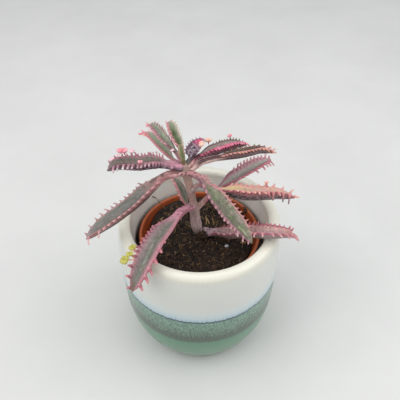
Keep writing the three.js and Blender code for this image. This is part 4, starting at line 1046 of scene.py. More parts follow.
def blade_skin(b, spec, scallop):
    """The closed fleshy blade, sides wavy by scallop[side](s)."""
    rows = []
    n_half = 18
    xs = np.cos(np.linspace(0, math.pi, n_half * 2 + 1))     # from margin A to margin B
    stations = np.r_[np.linspace(0, 0.1, 14)[:-1], np.linspace(0.1, 0.9, 170)[:-1], np.linspace(0.9, 1.0, 34)]
    for s in stations:
        q, lat, nor, t = (b.at(a, s) for a in (b.q, b.lat, b.nor, b.t))
        w, fold = float(b.at(b.w, s)), float(b.at(b.fold, s))
        cb, sb = math.cos(fold), math.sin(fold)
        big = min(1.0, w / 4.0)
        mid = 2.5 * (0.45 + 0.55 * big)
        stalky = 1.0 - float(smooth(spec["petiole"] * 0.6, spec["petiole"] + 0.16, s))
        mid = mid + (b.stalk_thick - mid) * stalky
        ring = []
        crease = 0.16
        for sgn, seq in ((1, xs), (-1, xs[::-1])):
            ax = np.abs(seq)
            edge = np.clip((ax - 0.80) / 0.20, 0, 1)
            thick = mid * (1 - 0.42 * ax ** 1.5) * np.sqrt(np.clip(1 - edge ** 2 * 0.995, 0, 1))
            grow = np.where(seq > 0, w + scallop["A"](s), w + scallop["B"](s))
            soft = np.sqrt(ax ** 2 + crease ** 2) - crease
            soft = soft / (math.sqrt(1 + crease ** 2) - crease)
            # the margins curl up a little more than the flat of the blade
            lift = soft + 0.05 * ax ** 4
            side = np.sign(seq)
            off = sgn * thick * 0.5
            p = (q + (seq * grow * cb)[:, None] * lat + (lift * grow * sb)[:, None] * nor)
            nrm = (-side * sb * np.clip(ax * 4, 0, 1))[:, None] * lat + (np.sqrt(1 - (sb * np.clip(ax * 4, 0, 1)) ** 2))[:, None] * nor
            p = p + off[:, None] * nrm
            if sgn < 0:
                # keel under the midrib
                p = p - (0.35 * big * np.exp(-(seq / 0.10) ** 2))[:, None] * nor
            else:
                p = p + (0.18 * big * np.exp(-(seq / 0.06) ** 2))[:, None] * nor
            ring.append(p[:-1])
        rows.append(np.vstack(ring))
    sides = len(rows[0])
    # root: run back into the stem
    base = rows[0]
    c = base.mean(0)
    lead = b.root - b.q[0]
    rows = [base * 0.94 + c * 0.06 + lead] + rows
    n = len(rows)
    v = np.vstack(rows)
    i = np.arange(n - 1)[:, None] * sides
    j = np.arange(sides)
    k = (j + 1) % sides
    quads = np.stack([i + j, i + k, i + sides + k, i + sides + j], -1).reshape(-1, 4)
    v = np.vstack([v, rows[0].mean(0), rows[-1].mean(0) + b.t[-1] * 0.3])
    lo = np.stack([np.full(sides, n * sides), k, j], -1)
    hi = np.stack([np.full(sides, n * sides + 1), (n - 1) * sides + j, (n - 1) * sides + k], -1)
    return v, quads, np.vstack([lo, hi])


def tooth_path(b, side, s, length, droop, lean, rng):
    q, lat, nor, t = (b.at(a, s) for a in (b.q, b.lat, b.nor, b.t))
    w, fold = float(b.at(b.w, s)), float(b.at(b.fold, s))
    sgn = 1 if side == "A" else -1
    d = sgn * math.cos(fold) * lat + math.sin(fold) * nor
    m = q + w * d
    out = d + lean * t + droop * np.array([0, 0, -1.0])
    out /= np.linalg.norm(out)
    tip = m + length * out
    bow = d + 0.35 * lean * t
    bow /= np.linalg.norm(bow)
    start = m - 1.5 * d
    ctrl = m + 0.45 * length * bow
    u = np.linspace(0, 1, 11)[:, None]
    p = (1 - u) ** 2 * start + 2 * u * (1 - u) * ctrl + u ** 2 * tip
    return p, m


TOOTH_R = {   # radius at the root of a tooth and near its tip, by leaf and margin
    "leaf_far_left": dict(A=(0.95, 0.74), B=(0.85, 0.55)),
    "leaf_front_left": dict(A=(1.71, 0.89), B=(1.48, 0.82)),
    "leaf_salmon": dict(A=(1.15, 0.62), B=(1.2, 0.72)),
    "leaf_low_right": dict(A=(0.85, 0.55), B=(1.0, 0.66)),
    "leaf_big_left": dict(A=(1.0, 0.7), B=(1.0, 0.55)),
    "leaf_right_magenta": dict(A=(0.8, 0.55), B=(0.85, 0.72)),
    "leaf_right_orange": dict(A=(0.8, 0.55), B=(0.9, 0.68)),
    "leaf_back_grey": dict(A=(1.15, 0.72), B=(1.0, 0.66)),
    "leaf_front_right": dict(A=(1.05, 0.6), B=(0.92, 0.56)),
    "leaf_young": dict(A=(0.5, 0.35), B=(0.5, 0.35)),
}


CURLS = {   # place along, place across, length, direction (across, out of the face, along)
    "leaf_back_right": [(s, x, 2.6, (0.5 * (1 if x > 0 else -1), 0.7, 0.55))
                        for s, x in ((0.24, 0.45), (0.24, -0.45), (0.33, 0.8), (0.33, 0.1), (0.33, -0.6), (0.43, 0.55), (0.43, -0.2), (0.43, -0.85),
                                     (0.53, 0.85), (0.53, 0.2), (0.53, -0.5), (0.63, 0.55), (0.63, -0.15), (0.63, -0.8), (0.73, 0.8), (0.73, 0.25), (0.73, -0.45),
                                     (0.83, 0.5), (0.83, -0.2), (0.83, -0.75), (0.92, 0.3), (0.92, -0.3))],
}


def side_fill(rows, first, last, pitch, length, droop, lean):
    """Small regular teeth on a margin that has none listed."""
    if rows:
        return rows
    n = int(round((last - first) / pitch))
    return [(first + (i + 0.5) * (last - first) / n, length, droop, lean) for i in range(n)]


def make_leaf(name, spec, mat, seed, voxel=0.36, ratio=0.5):
    rng = np.random.default_rng(seed)
    b = Blade(name)
    teeth = {k: [tuple(r) for r in TEETH[name][k]] for k in "AB"}
    span = spec["petiole"] + 0.12
    for k in "AB":
        teeth[k] = side_fill(teeth[k], span, 0.95, 4.2 / b.length, 1.7, 0.3, 0.7)
    # listed teeth start part way: tucked small ones stand before them
    if name == "leaf_upper_left_a":
        teeth["A"] = side_fill([], span, 0.64, 4.0 / b.length, 1.2, 0.6, 1.2) + teeth["A"]
    if name == "leaf_upper_left_b":
        teeth["A"] = side_fill([], span, 0.62, 3.6 / b.length, 1.6, 0.5, 1.0) + teeth["A"]
        teeth["B"] = side_fill([], span, 0.46, 4.0 / b.length, 1.5, 0.3, 0.8) + teeth["B"]

    def scallop(k):
        ss = np.array([r[0] for r in teeth[k]])

        def f(s):
            d = np.abs(ss - s) * b.length
            return 0.42 * float(np.exp(-(d.min() / 1.1) ** 2)) - 0.10

        return f

    parts = [blade_skin(b, spec, {k: scallop(k) for k in "AB"})]
    samples, u_of, id_of, side_of, r_of = [], [], [], [], []
    for s, x, length, out in CURLS.get(name, []):
        # curled growths standing on the face or the back of the blade
        q, lat, nor, t = (b.at(a, s) for a in (b.q, b.lat, b.nor, b.t))
        w, fold = float(b.at(b.w, s)), float(b.at(b.fold, s))
        sg = 1 if x > 0 else -1
        m = q + abs(x) * w * (sg * math.cos(fold) * lat + math.sin(fold) * nor)
        d = out[0] * lat + out[1] * nor + out[2] * t
        d /= np.linalg.norm(d)
        tip = m + length * d
        u = np.linspace(0, 1, 9)[:, None]
        side = sg * lat * math.sin(fold) * -1 + nor * math.cos(fold)
        if out[1] < 0:
            side = -side
        p = (1 - u) ** 2 * m + 2 * u * (1 - u) * (m + side * length * 0.55) + u ** 2 * tip
        rad = np.linspace(0.85, 0.62, 9)
        parts.append(tube(p, rad, 8))
        samples.append(p[2:])
        u_of.append(u[2:, 0])
        r_of.append(rad[2:])
        id_of.append(np.full(7, rng.uniform()))
        side_of.append(np.full(7, float(sg)))
    for k in "AB":
        r0, r1 = TOOTH_R.get(name, {}).get(k, (0.85, 0.48))
        for row in teeth[k]:
            s, length, droop, lean = row
            length *= rng.uniform(0.93, 1.07)
            p, m = tooth_path(b, k, s, length, droop + rng.uniform(-0.08, 0.08), lean + rng.uniform(-0.06, 0.06), rng)
            p = p + rng.normal(size=3) * 0.06
            u = np.linspace(0, 1, len(p))
            rad = r0 + (r1 - r0) * smooth(0.15, 0.85, u)
            rad = rad * (1 + 0.16 * np.exp(-((u - 0.88) / 0.10) ** 2))
            rad[-1] *= 0.72
            rad *= min(1.0, 0.66 + length / 6.0) * rng.uniform(0.92, 1.1)
            parts.append(tube(p, rad, 10, 0.92))
            if length > 2.7 and rng.uniform() < 0.45:
                # some teeth end in a pair of tiny leaflets
                t = b.at(b.t, s)
                for sg in (-1, 1):
                    away = 0.75 * sg * t + 0.55 * (p[-1] - p[-2]) / np.linalg.norm(p[-1] - p[-2])
                    q = np.stack([p[-2] + away * k for k in (0.0, 0.5, 1.05)])
                    parts.append(tube(q, rad[-2] * np.array([0.85, 0.95, 0.62]), 8))
            keep = slice(2, None)
            samples.append(p[keep])
            u_of.append(u[keep])
            r_of.append(rad[keep])
            id_of.append(np.full(len(p[keep]), rng.uniform()))
            side_of.append(np.full(len(p[keep]), 1.0 if k == "A" else -1.0))
    v, faces = stack(parts)
    v, faces = fused(v, faces, voxel)
    nrm = vertex_normals(v, faces)
    v = v + nrm * (0.10 * wave_noise(v, seed + 3, 7.0, 2) + 0.035 * wave_noise(v, seed + 4, 2.2, 2))[:, None]
    v, faces = thinned(v, faces, ratio)
    attrs = leaf_attributes(b, v, faces, teeth, np.vstack(samples), np.concatenate(u_of), np.concatenate(r_of), np.concatenate(id_of), np.concatenate(side_of))
    return piece(name + "_blade", v, faces, mat, [name], attrs)


def leaf_attributes(b, v, faces, teeth, pts, pu, pr, pid, pside):
    n = len(v)
    s = np.empty(n)
    best = np.empty(n, int)
    grid = b.q[::2]
    for lo in range(0, n, 4000):
        d = ((v[lo:lo + 4000, None, :] - grid[None]) ** 2).sum(-1)
        best[lo:lo + 4000] = d.argmin(1) * 2
    rel = v - b.q[best]
    s = b.s[best] + (rel * b.t[best]).sum(1) / b.length
    s = np.clip(s, -0.03, 1.03)
    q = b.at(b.q, s)
    lat, nor = b.at(b.lat, s), b.at(b.nor, s)
    w, fold = b.at(b.w, s), b.at(b.fold, s)
    rel = v - q
    a, h = (rel * lat).sum(1), (rel * nor).sum(1)
    along = np.abs(a) * np.cos(fold) + h * np.sin(fold)
    x = np.sign(a) * np.clip(along, 0, None) / np.maximum(w, 0.6)
    lift = h * np.cos(fold) - np.abs(a) * np.sin(fold)
    nrm = vertex_normals(v, faces)
    facing = (nrm * nor).sum(1) * np.cos(fold) - np.sign(a) * (nrm * lat).sum(1) * np.sin(fold)
    top = smooth(-0.25, 0.25, facing)
    # teeth
    tooth, tid = np.zeros(n), np.zeros(n)
    for lo in range(0, n, 3000):
        d = np.sqrt(((v[lo:lo + 3000, None, :] - pts[None]) ** 2).sum(-1)) / pr[None]
        i = d.argmin(1)
        dd = d[np.arange(len(i)), i]
        near = smooth(1.9, 1.15, dd)
        tooth[lo:lo + 3000] = near * pu[i]
        tid[lo:lo + 3000] = pid[i]
    beyond = smooth(0.86, 1.0, np.abs(x)) + smooth(0.97, 1.0, s)
    tooth *= np.clip(beyond, 0, 1)
    # how near the root of a tooth, along the margin on this side
    tb = np.zeros(n)
    for k, sg in (("A", 1), ("B", -1)):
        ss = np.array([r[0] for r in teeth[k]])
        m = np.sign(a) == sg
        d = np.abs(s[m][:, None] - ss[None]).min(1) * b.length
        tb[m] = np.exp(-(d / 1.15) ** 2)
    return {"leaf_s": s, "leaf_x": np.clip(x, -1.6, 1.6), "leaf_top": top, "tooth": tooth, "tid": tid, "tb": tb}


def leaf_material(name, c):
    """c holds display colours: face and under ramps across the blade (0 is margin B, 1 is margin A), base, tip, teeth, dashes."""
    t = Tree(name + "_skin")
    s, x, top = t.attr("leaf_s"), t.attr("leaf_x"), t.attr("leaf_top")
    tooth, tid, tb = t.attr("tooth"), t.attr("tid"), t.attr("tb")
    ln = c["length"]
    along = t.vec(t.math("MULTIPLY", s, ln * MM), t.math("MULTIPLY", x, c["half"] * MM), t.math("MULTIPLY", top, 0.05))
    streak = t.noise(520.0, 3.0, 0.65, t.vec(t.math("MULTIPLY", s, ln * MM * 0.10), t.math("MULTIPLY", x, c["half"] * MM), 0.3))
    cloud = t.noise(150.0, 3.0, 0.6, t.coord)
    grain = t.noise(1100.0, 3.0, 0.7, t.coord)
    wob = t.math("ADD", t.math("MULTIPLY", t.math("SUBTRACT", cloud, 0.5), c.get("wander", 0.16)), t.math("MULTIPLY", t.math("SUBTRACT", streak, 0.5), 0.10))
    u = t.math("ADD", t.math("MULTIPLY", t.math("ADD", x, wob), 0.5), 0.5, True)
    face = t.ramp(u, c["face"])
    under = t.ramp(u, c["under"])
    # faint lengthwise veins and clouding
    face = t.mix(t.math("MULTIPLY", t.span(streak, 0.40, 0.66), 0.26), face, t.ramp(u, [(p, tuple(min(255, q * 1.18 + 6) for q in k)) for p, k in c["face"]]))
    face = t.mix(t.math("MULTIPLY", t.span(streak, 0.52, 0.34), 0.30), face, t.ramp(u, [(p, tuple(q * 0.78 for q in k)) for p, k in c["face"]]))
    if "flush" in c:
        fl, amount, lo, hi = c["flush"]
        face = t.mix(t.math("MULTIPLY", t.span(cloud, lo, hi), amount), face, lin(fl))
    # clouding, then dark maroon freckles that thicken towards the margins
    mott = t.noise(c.get("mottle_scale", 330.0), 4.0, 0.65, t.coord)
    face = t.mix(t.math("MULTIPLY", t.span(mott, 0.50, 0.36), c.get("mottle", 0.5)), face, t.ramp(u, [(p, tuple(q * 0.62 for q in k)) for p, k in c["face"]]))
    face = t.mix(t.math("MULTIPLY", t.span(mott, 0.53, 0.68), c.get("mottle", 0.5)), face, t.ramp(u, [(p, tuple(min(250, q * 1.25 + 8) for q in k)) for p, k in c["face"]]))
    freck = t.noise(620.0, 2.0, 0.6, t.coord)
    many = t.math("ADD", c.get("spots", 0.35), t.math("MULTIPLY", t.math("POWER", t.math("ABSOLUTE", x), 3.0), 0.35), True)
    face = t.mix(t.math("MULTIPLY", t.span(freck, 0.585, 0.66), many), face, lin(c.get("spot", (92, 58, 62))))
    # blotches on the underside: dark marks between pale cells
    marks = t.cells(330.0, along)
    blot = t.math("MULTIPLY", t.span(marks, 0.42, 0.18), c.get("blotch", 0.45))
    under = t.mix(blot, under, lin(c.get("blotch_colour", (58, 42, 52))))
    under = t.mix(t.math("MULTIPLY", t.span(cloud, 0.52, 0.70), 0.35), under, lin(c.get("under_light", (150, 128, 142))))
    if "squiggle" in c:
        qc, amount, scale, both = c["squiggle"]
        worm = t.span(t.math("ABSOLUTE", t.math("SUBTRACT", t.noise(scale, 2.0, 0.5, t.coord), 0.5)), 0.075, 0.03)
        under = t.mix(t.math("MULTIPLY", worm, amount), under, lin(qc))
        if both:
            face = t.mix(t.math("MULTIPLY", worm, amount), face, lin(qc))
    if "glow" in c:
        gc, g0, g1, g2, g3, amount = c["glow"]
        face = t.mix(t.math("MULTIPLY", t.math("MULTIPLY", t.span(s, g0, g1), t.span(s, g3, g2)), amount), face, lin(gc))
    if "streak_mid" in c:
        sc, s0, strength = c["streak_mid"]
        mid = t.math("MULTIPLY", t.span(t.math("ABSOLUTE", t.math("ADD", x, t.math("MULTIPLY", t.math("SUBTRACT", cloud, 0.5), 0.2))), 0.20, 0.06), t.span(s, s0 - 0.04, s0 + 0.06))
        face = t.mix(t.math("MULTIPLY", t.math("MULTIPLY", mid, t.span(streak, 0.40, 0.56)), t.span(mott, 0.44, 0.54, 0.15 * strength, strength)), face, lin(sc))
    col = t.mix(top, under, face)
    if "base" in c:
        bc, s0, s1 = c["base"]
        bcol = t.mix(t.math("MULTIPLY", t.span(t.noise(340.0, 3.0, 0.6), 0.50, 0.60), c.get("base_marks", 0.5)), lin(bc), lin(tuple(q * 0.55 for q in bc)))
        reach = t.span(s, s1, s0)
        col = t.mix(t.math("MULTIPLY", reach, t.math("ADD", t.math("MULTIPLY", top, 0.8), 0.2)) if c.get("base_top") else reach, col, bcol)
    if "tip" in c:
        tc, s0, s1 = c["tip"]
        col = t.mix(t.math("MULTIPLY", t.span(s, s0, s1), 0.85), col, lin(tc))
    # margins: a band with darker dashes between or at the roots of the teeth; the dashes between the teeth are partly
    # real dark marks and partly painted shade in the gaps
    ax = t.math("ABSOLUTE", x)
    is_a = t.span(x, -0.1, 0.1)
    for key, sel in (("edgeA", is_a), ("edgeB", t.math("SUBTRACT", 1.0, is_a))):
        if key not in c:
            continue
        e = c[key]
        rng_s = t.math("MULTIPLY", t.span(s, e.get("from", 0.1) - 0.05, e.get("from", 0.1) + 0.05), 1.0)
        zone = t.math("MULTIPLY", t.math("MULTIPLY", sel, rng_s), t.span(t.math("ADD", ax, t.math("MULTIPLY", t.math("SUBTRACT", cloud, 0.5), 0.10)), e["x0"], e["x1"]))
        col = t.mix(t.math("MULTIPLY", zone, e.get("amount", 0.9)), col, lin(e["band"]))
        pulse = t.math("ADD", tb, t.math("MULTIPLY", t.math("SUBTRACT", grain, 0.5), 0.5))
        # with gaps the dashes fall between the teeth: partly real dark marks, partly painted shade
        dash = t.span(pulse, 0.62, 0.30) if e.get("gaps", True) else t.span(pulse, 0.35, 0.75)
        if "dash" in e:
            dz = t.math("MULTIPLY", t.math("MULTIPLY", sel, rng_s), t.span(ax, e.get("d0", e["x0"]), e.get("d1", e["x1"])))
            col = t.mix(t.math("MULTIPLY", t.math("MULTIPLY", dz, dash), e.get("dash_amount", 0.8)), col, lin(e["dash"]))
    # the teeth themselves
    ta, tbm = c["toothA"], c["toothB"]
    shade = t.math("ADD", tooth, t.math("MULTIPLY", t.math("SUBTRACT", tid, 0.5), 0.22), True)
    ca = t.ramp(shade, [(0.15, ta[0]), (0.55, ta[1]), (0.92, ta[2])])
    cb = t.ramp(shade, [(0.15, tbm[0]), (0.55, tbm[1]), (0.92, tbm[2])])
    tc = t.mix(is_a, cb, ca)
    tc = t.mix(t.math("MULTIPLY", t.span(grain, 0.56, 0.74), 0.35), tc, lin((176, 84, 104)))
    col = t.mix(t.span(tooth, 0.12, 0.34), col, tc)
    # a fine speckle over everything, and the bloom that wax gives
    col = t.mix(t.math("MULTIPLY", t.span(t.cells(900.0), 0.30, 0.12), 0.22), col, lin((92, 60, 70)))
    col = t.mix(t.math("MULTIPLY", t.span(grain, 0.5, 0.72), 0.18), col, lin((214, 206, 204)))
    height = t.math("ADD", t.math("MULTIPLY", streak, 0.9), t.math("ADD", t.math("MULTIPLY", grain, 0.35), t.math("MULTIPLY", cloud, 0.8)))
    rough = t.span(cloud, 0.3, 0.7, 0.44, 0.58)
    return t.finish(col, rough, t.bump(height, 0.35, 0.00045), Subsurface_Weight=0.10, Subsurface_Scale=0.0018, IOR=1.42)


LOOKS = {
    "leaf_far_left": dict(
        base_top=True, squiggle=((160, 138, 154), 0.8, 300.0, False), base_marks=0.8, spots=0.3, face=[(0.0, (128, 105, 103)), (0.1, (114, 113, 101)), (0.35, (122, 107, 102)), (0.5, (131, 115, 108)), (0.7, (146, 117, 125)), (0.92, (185, 111, 135)), (1.0, (207, 111, 139))],
        under=[(0.0, (91, 72, 79)), (0.3, (69, 52, 59)), (0.5, (57, 42, 48)), (0.8, (65, 50, 58)), (1.0, (107, 91, 102))],
        mottle=0.35, blotch=0.6, blotch_colour=(40, 28, 34), under_light=(128, 108, 126), flush=((150, 112, 110), 0.35, 0.5, 0.7), base=((196, 140, 156), 0.12, 0.30), tip=((140, 131, 132), 0.86, 1.0),
        edgeA=dict(x0=0.7, x1=0.95, band=(176, 118, 132), dash=(62, 42, 52), dash_amount=0.75), edgeB=dict(x0=0.8, x1=0.98, band=(168, 110, 122), dash=(96, 62, 70), dash_amount=0.6),
        toothA=[(138, 96, 112), (186, 134, 148), (238, 220, 222)], toothB=[(132, 92, 102), (168, 112, 122), (192, 142, 148)]),
    "leaf_upper_left_a": dict(
        spots=0.2, face=[(0.0, (173, 129, 131)), (0.15, (150, 156, 138)), (0.4, (140, 152, 124)), (0.6, (122, 134, 98)), (0.68, (140, 70, 66)), (0.76, (236, 150, 152)), (0.9, (244, 180, 184)), (1.0, (236, 170, 178))],
        under=[(0.0, (110, 84, 90)), (0.5, (84, 64, 66)), (0.62, (158, 104, 104)), (0.8, (208, 142, 138)), (1.0, (216, 152, 150))],
        mottle=0.3, blotch=0.25, base=((184, 134, 150), 0.04, 0.34), tip=((226, 140, 150), 0.84, 0.97),
        edgeA=dict(x0=0.50, x1=0.66, band=(204, 138, 142), dash=(150, 84, 92), dash_amount=0.4), edgeB=dict(x0=0.84, x1=0.98, band=(178, 124, 128), dash=(120, 72, 80), dash_amount=0.5),
        toothA=[(214, 128, 138), (226, 140, 152), (236, 170, 176)], toothB=[(170, 106, 116), (200, 140, 140), (224, 190, 180)]),
    "leaf_upper_left_b": dict(
        spots=0.3, face=[(0.0, (164, 152, 142)), (0.15, (150, 162, 140)), (0.45, (134, 146, 122)), (0.62, (142, 146, 126)), (0.72, (186, 130, 138)), (0.85, (206, 144, 152)), (1.0, (228, 172, 172))],
        under=[(0.0, (104, 82, 92)), (0.5, (84, 66, 74)), (0.7, (158, 110, 120)), (1.0, (200, 146, 152))],
        mottle=0.35, blotch=0.35, flush=((168, 160, 166), 0.4, 0.48, 0.7), base=((218, 146, 166), 0.04, 0.26), tip=((196, 150, 156), 0.88, 1.0),
        edgeA=dict(x0=0.42, x1=0.62, band=(196, 142, 148), dash=(112, 72, 84), dash_amount=0.75, d0=0.5, d1=0.8), edgeB=dict(x0=0.82, x1=0.97, band=(170, 142, 140), dash=(92, 70, 72), dash_amount=0.6),
        toothA=[(192, 130, 140), (212, 154, 160), (232, 190, 192)], toothB=[(140, 108, 104), (186, 164, 152), (220, 206, 190)]),
    "leaf_top": dict(
        spots=0.15, face=[(0.0, (160, 150, 145)), (0.12, (130, 138, 116)), (0.3, (94, 107, 71)), (0.55, (84, 97, 57)), (0.76, (92, 105, 69)), (0.86, (146, 106, 107)), (1.0, (158, 119, 121))],
        under=[(0.0, (150, 140, 120)), (0.3, (112, 120, 92)), (0.7, (120, 96, 88)), (1.0, (190, 126, 136))],
        mottle=0.3, blotch=0.22, flush=((160, 172, 140), 0.5, 0.5, 0.72), base=((128, 142, 92), 0.0, 0.12), tip=((164, 172, 146), 0.55, 1.05),
        edgeA=dict(x0=0.66, x1=0.9, band=(208, 140, 148), dash=(128, 74, 84), dash_amount=0.6), edgeB=dict(x0=0.86, x1=0.99, band=(196, 178, 162), dash=(92, 92, 70), dash_amount=0.5),
        toothA=[(204, 132, 142), (220, 156, 162), (232, 190, 190)], toothB=[(176, 158, 138), (208, 198, 180), (226, 222, 206)]),
    "leaf_young": dict(
        spots=0.1, face=[(0.0, (120, 112, 84)), (0.3, (104, 112, 68)), (0.52, (72, 92, 44)), (0.62, (84, 102, 54)), (0.76, (128, 124, 88)), (1.0, (146, 130, 104))],
        under=[(0.0, (122, 112, 84)), (0.5, (96, 98, 66)), (1.0, (168, 146, 116))],
        mottle=0.2, blotch=0.2, base=((112, 89, 67), 0.0, 0.3),
        edgeA=dict(x0=0.84, x1=0.98, band=(160, 134, 98)), edgeB=dict(x0=0.84, x1=0.98, band=(150, 112, 90)),
        toothA=[(150, 116, 96), (176, 132, 114), (206, 164, 146)], toothB=[(140, 104, 88), (170, 124, 108), (206, 164, 146)]),
    "leaf_back_right": dict(
        squiggle=((184, 166, 178), 0.85, 300.0, True), spots=0.4, face=[(0.0, (128, 70, 100)), (0.2, (92, 70, 84)), (0.5, (80, 64, 76)), (0.8, (92, 70, 84)), (1.0, (120, 76, 100))],
        under=[(0.0, (124, 76, 100)), (0.3, (90, 72, 84)), (0.5, (78, 64, 74)), (0.8, (92, 72, 86)), (1.0, (128, 84, 106))],
        mottle=0.4, blotch=0.85, blotch_colour=(46, 34, 42), under_light=(158, 140, 152), base=((104, 95, 86), 0.0, 0.2), tip=((214, 76, 124), 0.60, 0.84),
        edgeA=dict(x0=0.66, x1=0.92, band=(96, 66, 84), dash=(50, 34, 46), dash_amount=0.8), edgeB=dict(x0=0.66, x1=0.92, band=(92, 62, 80), dash=(50, 34, 46), dash_amount=0.8),
        toothA=[(96, 78, 88), (134, 112, 126), (172, 148, 162)], toothB=[(100, 78, 90), (140, 114, 128), (184, 148, 164)]),
    "leaf_right_magenta": dict(
        squiggle=((150, 126, 134), 0.4, 420.0, False), spots=0.3, face=[(0.0, (243, 91, 145)), (0.12, (213, 116, 145)), (0.28, (174, 148, 150)), (0.6, (177, 165, 161)), (0.85, (166, 151, 145)), (1.0, (142, 117, 110))],
        under=[(0.0, (160, 88, 110)), (0.25, (124, 83, 96)), (0.5, (101, 77, 83)), (0.8, (114, 91, 96)), (1.0, (130, 104, 106))],
        mottle=0.35, blotch=0.45, base=((234, 185, 179), 0.02, 0.24), tip=((188, 96, 116), 0.9, 1.02),
        edgeA=dict(x0=0.84, x1=0.98, band=(104, 84, 80), dash=(54, 44, 42), dash_amount=0.7), edgeB=dict(x0=0.62, x1=0.86, band=(122, 44, 72), dash=(84, 28, 50), dash_amount=0.8),
        toothA=[(84, 74, 66), (112, 104, 92), (184, 168, 152)], toothB=[(196, 74, 112), (230, 126, 154), (250, 202, 208)]),
    "leaf_right_orange": dict(
        squiggle=((146, 124, 128), 0.4, 420.0, False), spots=0.35, face=[(0.0, (152, 98, 91)), (0.15, (95, 77, 66)), (0.4, (70, 66, 55)), (0.7, (79, 75, 62)), (0.9, (96, 83, 70)), (1.0, (114, 91, 76))],
        under=[(0.0, (166, 121, 121)), (0.25, (115, 89, 92)), (0.5, (80, 61, 64)), (0.8, (73, 55, 57)), (1.0, (83, 61, 61))],
        mottle=0.35, blotch=0.35, under_light=(140, 120, 122), base=((224, 192, 184), 0.26, 0.46), tip=((206, 138, 112), 0.9, 1.02),
        edgeA=dict(x0=0.85, x1=0.98, band=(120, 88, 74), dash=(58, 46, 40), dash_amount=0.7), edgeB=dict(x0=0.62, x1=0.86, band=(110, 66, 70), dash=(70, 40, 46), dash_amount=0.8),
        toothA=[(96, 70, 58), (150, 104, 80), (214, 168, 136)], toothB=[(176, 108, 110), (210, 150, 138), (238, 184, 158)]),
    "leaf_back_grey": dict(
        spots=0.15, face=[(0.0, (223, 137, 146)), (0.16, (183, 113, 118)), (0.24, (136, 118, 113)), (0.45, (139, 140, 126)), (0.7, (162, 155, 150)), (0.88, (183, 146, 149)), (1.0, (190, 141, 144))],
        under=[(0.0, (196, 104, 128)), (0.2, (150, 98, 114)), (0.5, (110, 84, 96)), (1.0, (150, 110, 124))],
        mottle=0.25, blotch=0.3, flush=((150, 140, 140), 0.3, 0.5, 0.7), base=((196, 157, 150), 0.02, 0.42), tip=((134, 114, 99), 0.92, 1.02),
        edgeA=dict(x0=0.52, x1=0.80, band=(182, 128, 138), dash=(126, 76, 90), dash_amount=0.65), edgeB=dict(x0=0.50, x1=0.72, band=(192, 116, 132), dash=(150, 76, 94), dash_amount=0.45),
        toothA=[(172, 112, 122), (190, 134, 140), (206, 164, 160)], toothB=[(188, 108, 124), (204, 132, 142), (222, 170, 166)]),
    "leaf_front_right": dict(
        base_marks=0.95, spots=0.2, face=[(0.0, (195, 132, 138)), (0.1, (146, 112, 117)), (0.18, (120, 108, 99)), (0.4, (112, 107, 93)), (0.5, (104, 106, 82)), (0.62, (117, 113, 98)), (0.84, (139, 130, 116)), (0.93, (162, 128, 121)), (1.0, (182, 132, 129))],
        under=[(0.0, (190, 130, 142)), (0.3, (150, 112, 122)), (0.5, (120, 96, 104)), (1.0, (170, 130, 136))],
        mottle=0.55, blotch=0.3, flush=((106, 130, 76), 0.62, 0.49, 0.64), base=((182, 128, 130), 0.12, 0.32), tip=((129, 127, 92), 0.9, 1.04), streak_mid=((190, 198, 156), 0.74, 0.9),
        edgeA=dict(x0=0.86, x1=0.98, band=(216, 156, 158), dash=(176, 112, 116), dash_amount=0.45), edgeB=dict(x0=0.76, x1=0.94, band=(188, 138, 144), dash=(92, 58, 72), dash_amount=0.7, d0=0.74, d1=0.9),
        toothA=[(166, 104, 108), (190, 130, 130), (210, 168, 162)], toothB=[(156, 104, 114), (182, 132, 140), (208, 168, 172)]),
    "leaf_low_right": dict(
        base_marks=1.0, spots=0.35, face=[(0.0, (180, 136, 142)), (0.2, (182, 144, 146)), (0.45, (172, 146, 150)), (0.7, (184, 154, 152)), (0.92, (196, 154, 148)), (1.0, (172, 110, 116))],
        under=[(0.0, (159, 123, 121)), (0.3, (155, 133, 133)), (0.5, (135, 122, 120)), (0.8, (151, 131, 131)), (1.0, (180, 133, 133))],
        mottle=0.35, blotch=0.4, blotch_colour=(84, 62, 76), under_light=(166, 146, 156), flush=((214, 158, 156), 0.5, 0.5, 0.7), base=((182, 156, 164), 0.02, 0.34), tip=((214, 157, 153), 0.8, 0.95),
        edgeA=dict(x0=0.8, x1=0.96, band=(178, 104, 116), dash=(104, 44, 60), dash_amount=0.8), edgeB=dict(x0=0.78, x1=0.94, band=(204, 132, 146), dash=(136, 70, 92), dash_amount=0.6),
        toothA=[(150, 70, 86), (176, 96, 108), (206, 140, 146)], toothB=[(182, 118, 128), (202, 140, 144), (222, 176, 176)]),
    "leaf_salmon": dict(
        glow=((214, 202, 140), 0.26, 0.33, 0.42, 0.60, 0.6), squiggle=((172, 150, 156), 0.7, 270.0, False), spots=0.12, face=[(0.0, (168, 94, 119)), (0.14, (176, 112, 122)), (0.3, (184, 138, 136)), (0.5, (190, 152, 144)), (0.75, (202, 168, 156)), (0.92, (208, 166, 156)), (1.0, (200, 144, 148))],
        under=[(0.0, (160, 122, 118)), (0.16, (118, 94, 94)), (0.34, (84, 70, 70)), (0.5, (72, 60, 62)), (0.8, (92, 74, 74)), (1.0, (170, 118, 112))],
        mottle=0.16, blotch=0.4, blotch_colour=(62, 46, 54), under_light=(158, 130, 136), flush=((204, 190, 142), 0.4, 0.46, 0.66), base=((186, 160, 158), 0.06, 0.28), tip=((171, 125, 120), 0.88, 1.02),
        edgeA=dict(x0=0.84, x1=0.97, band=(222, 158, 148), dash=(176, 100, 100), dash_amount=0.55), edgeB=dict(x0=0.52, x1=0.78, band=(196, 126, 130), dash=(130, 66, 78), dash_amount=0.7, d0=0.66, d1=0.9),
        toothA=[(200, 134, 128), (212, 156, 144), (226, 180, 166)], toothB=[(200, 126, 128), (216, 148, 142), (232, 184, 170)]),
    "leaf_big_left": dict(
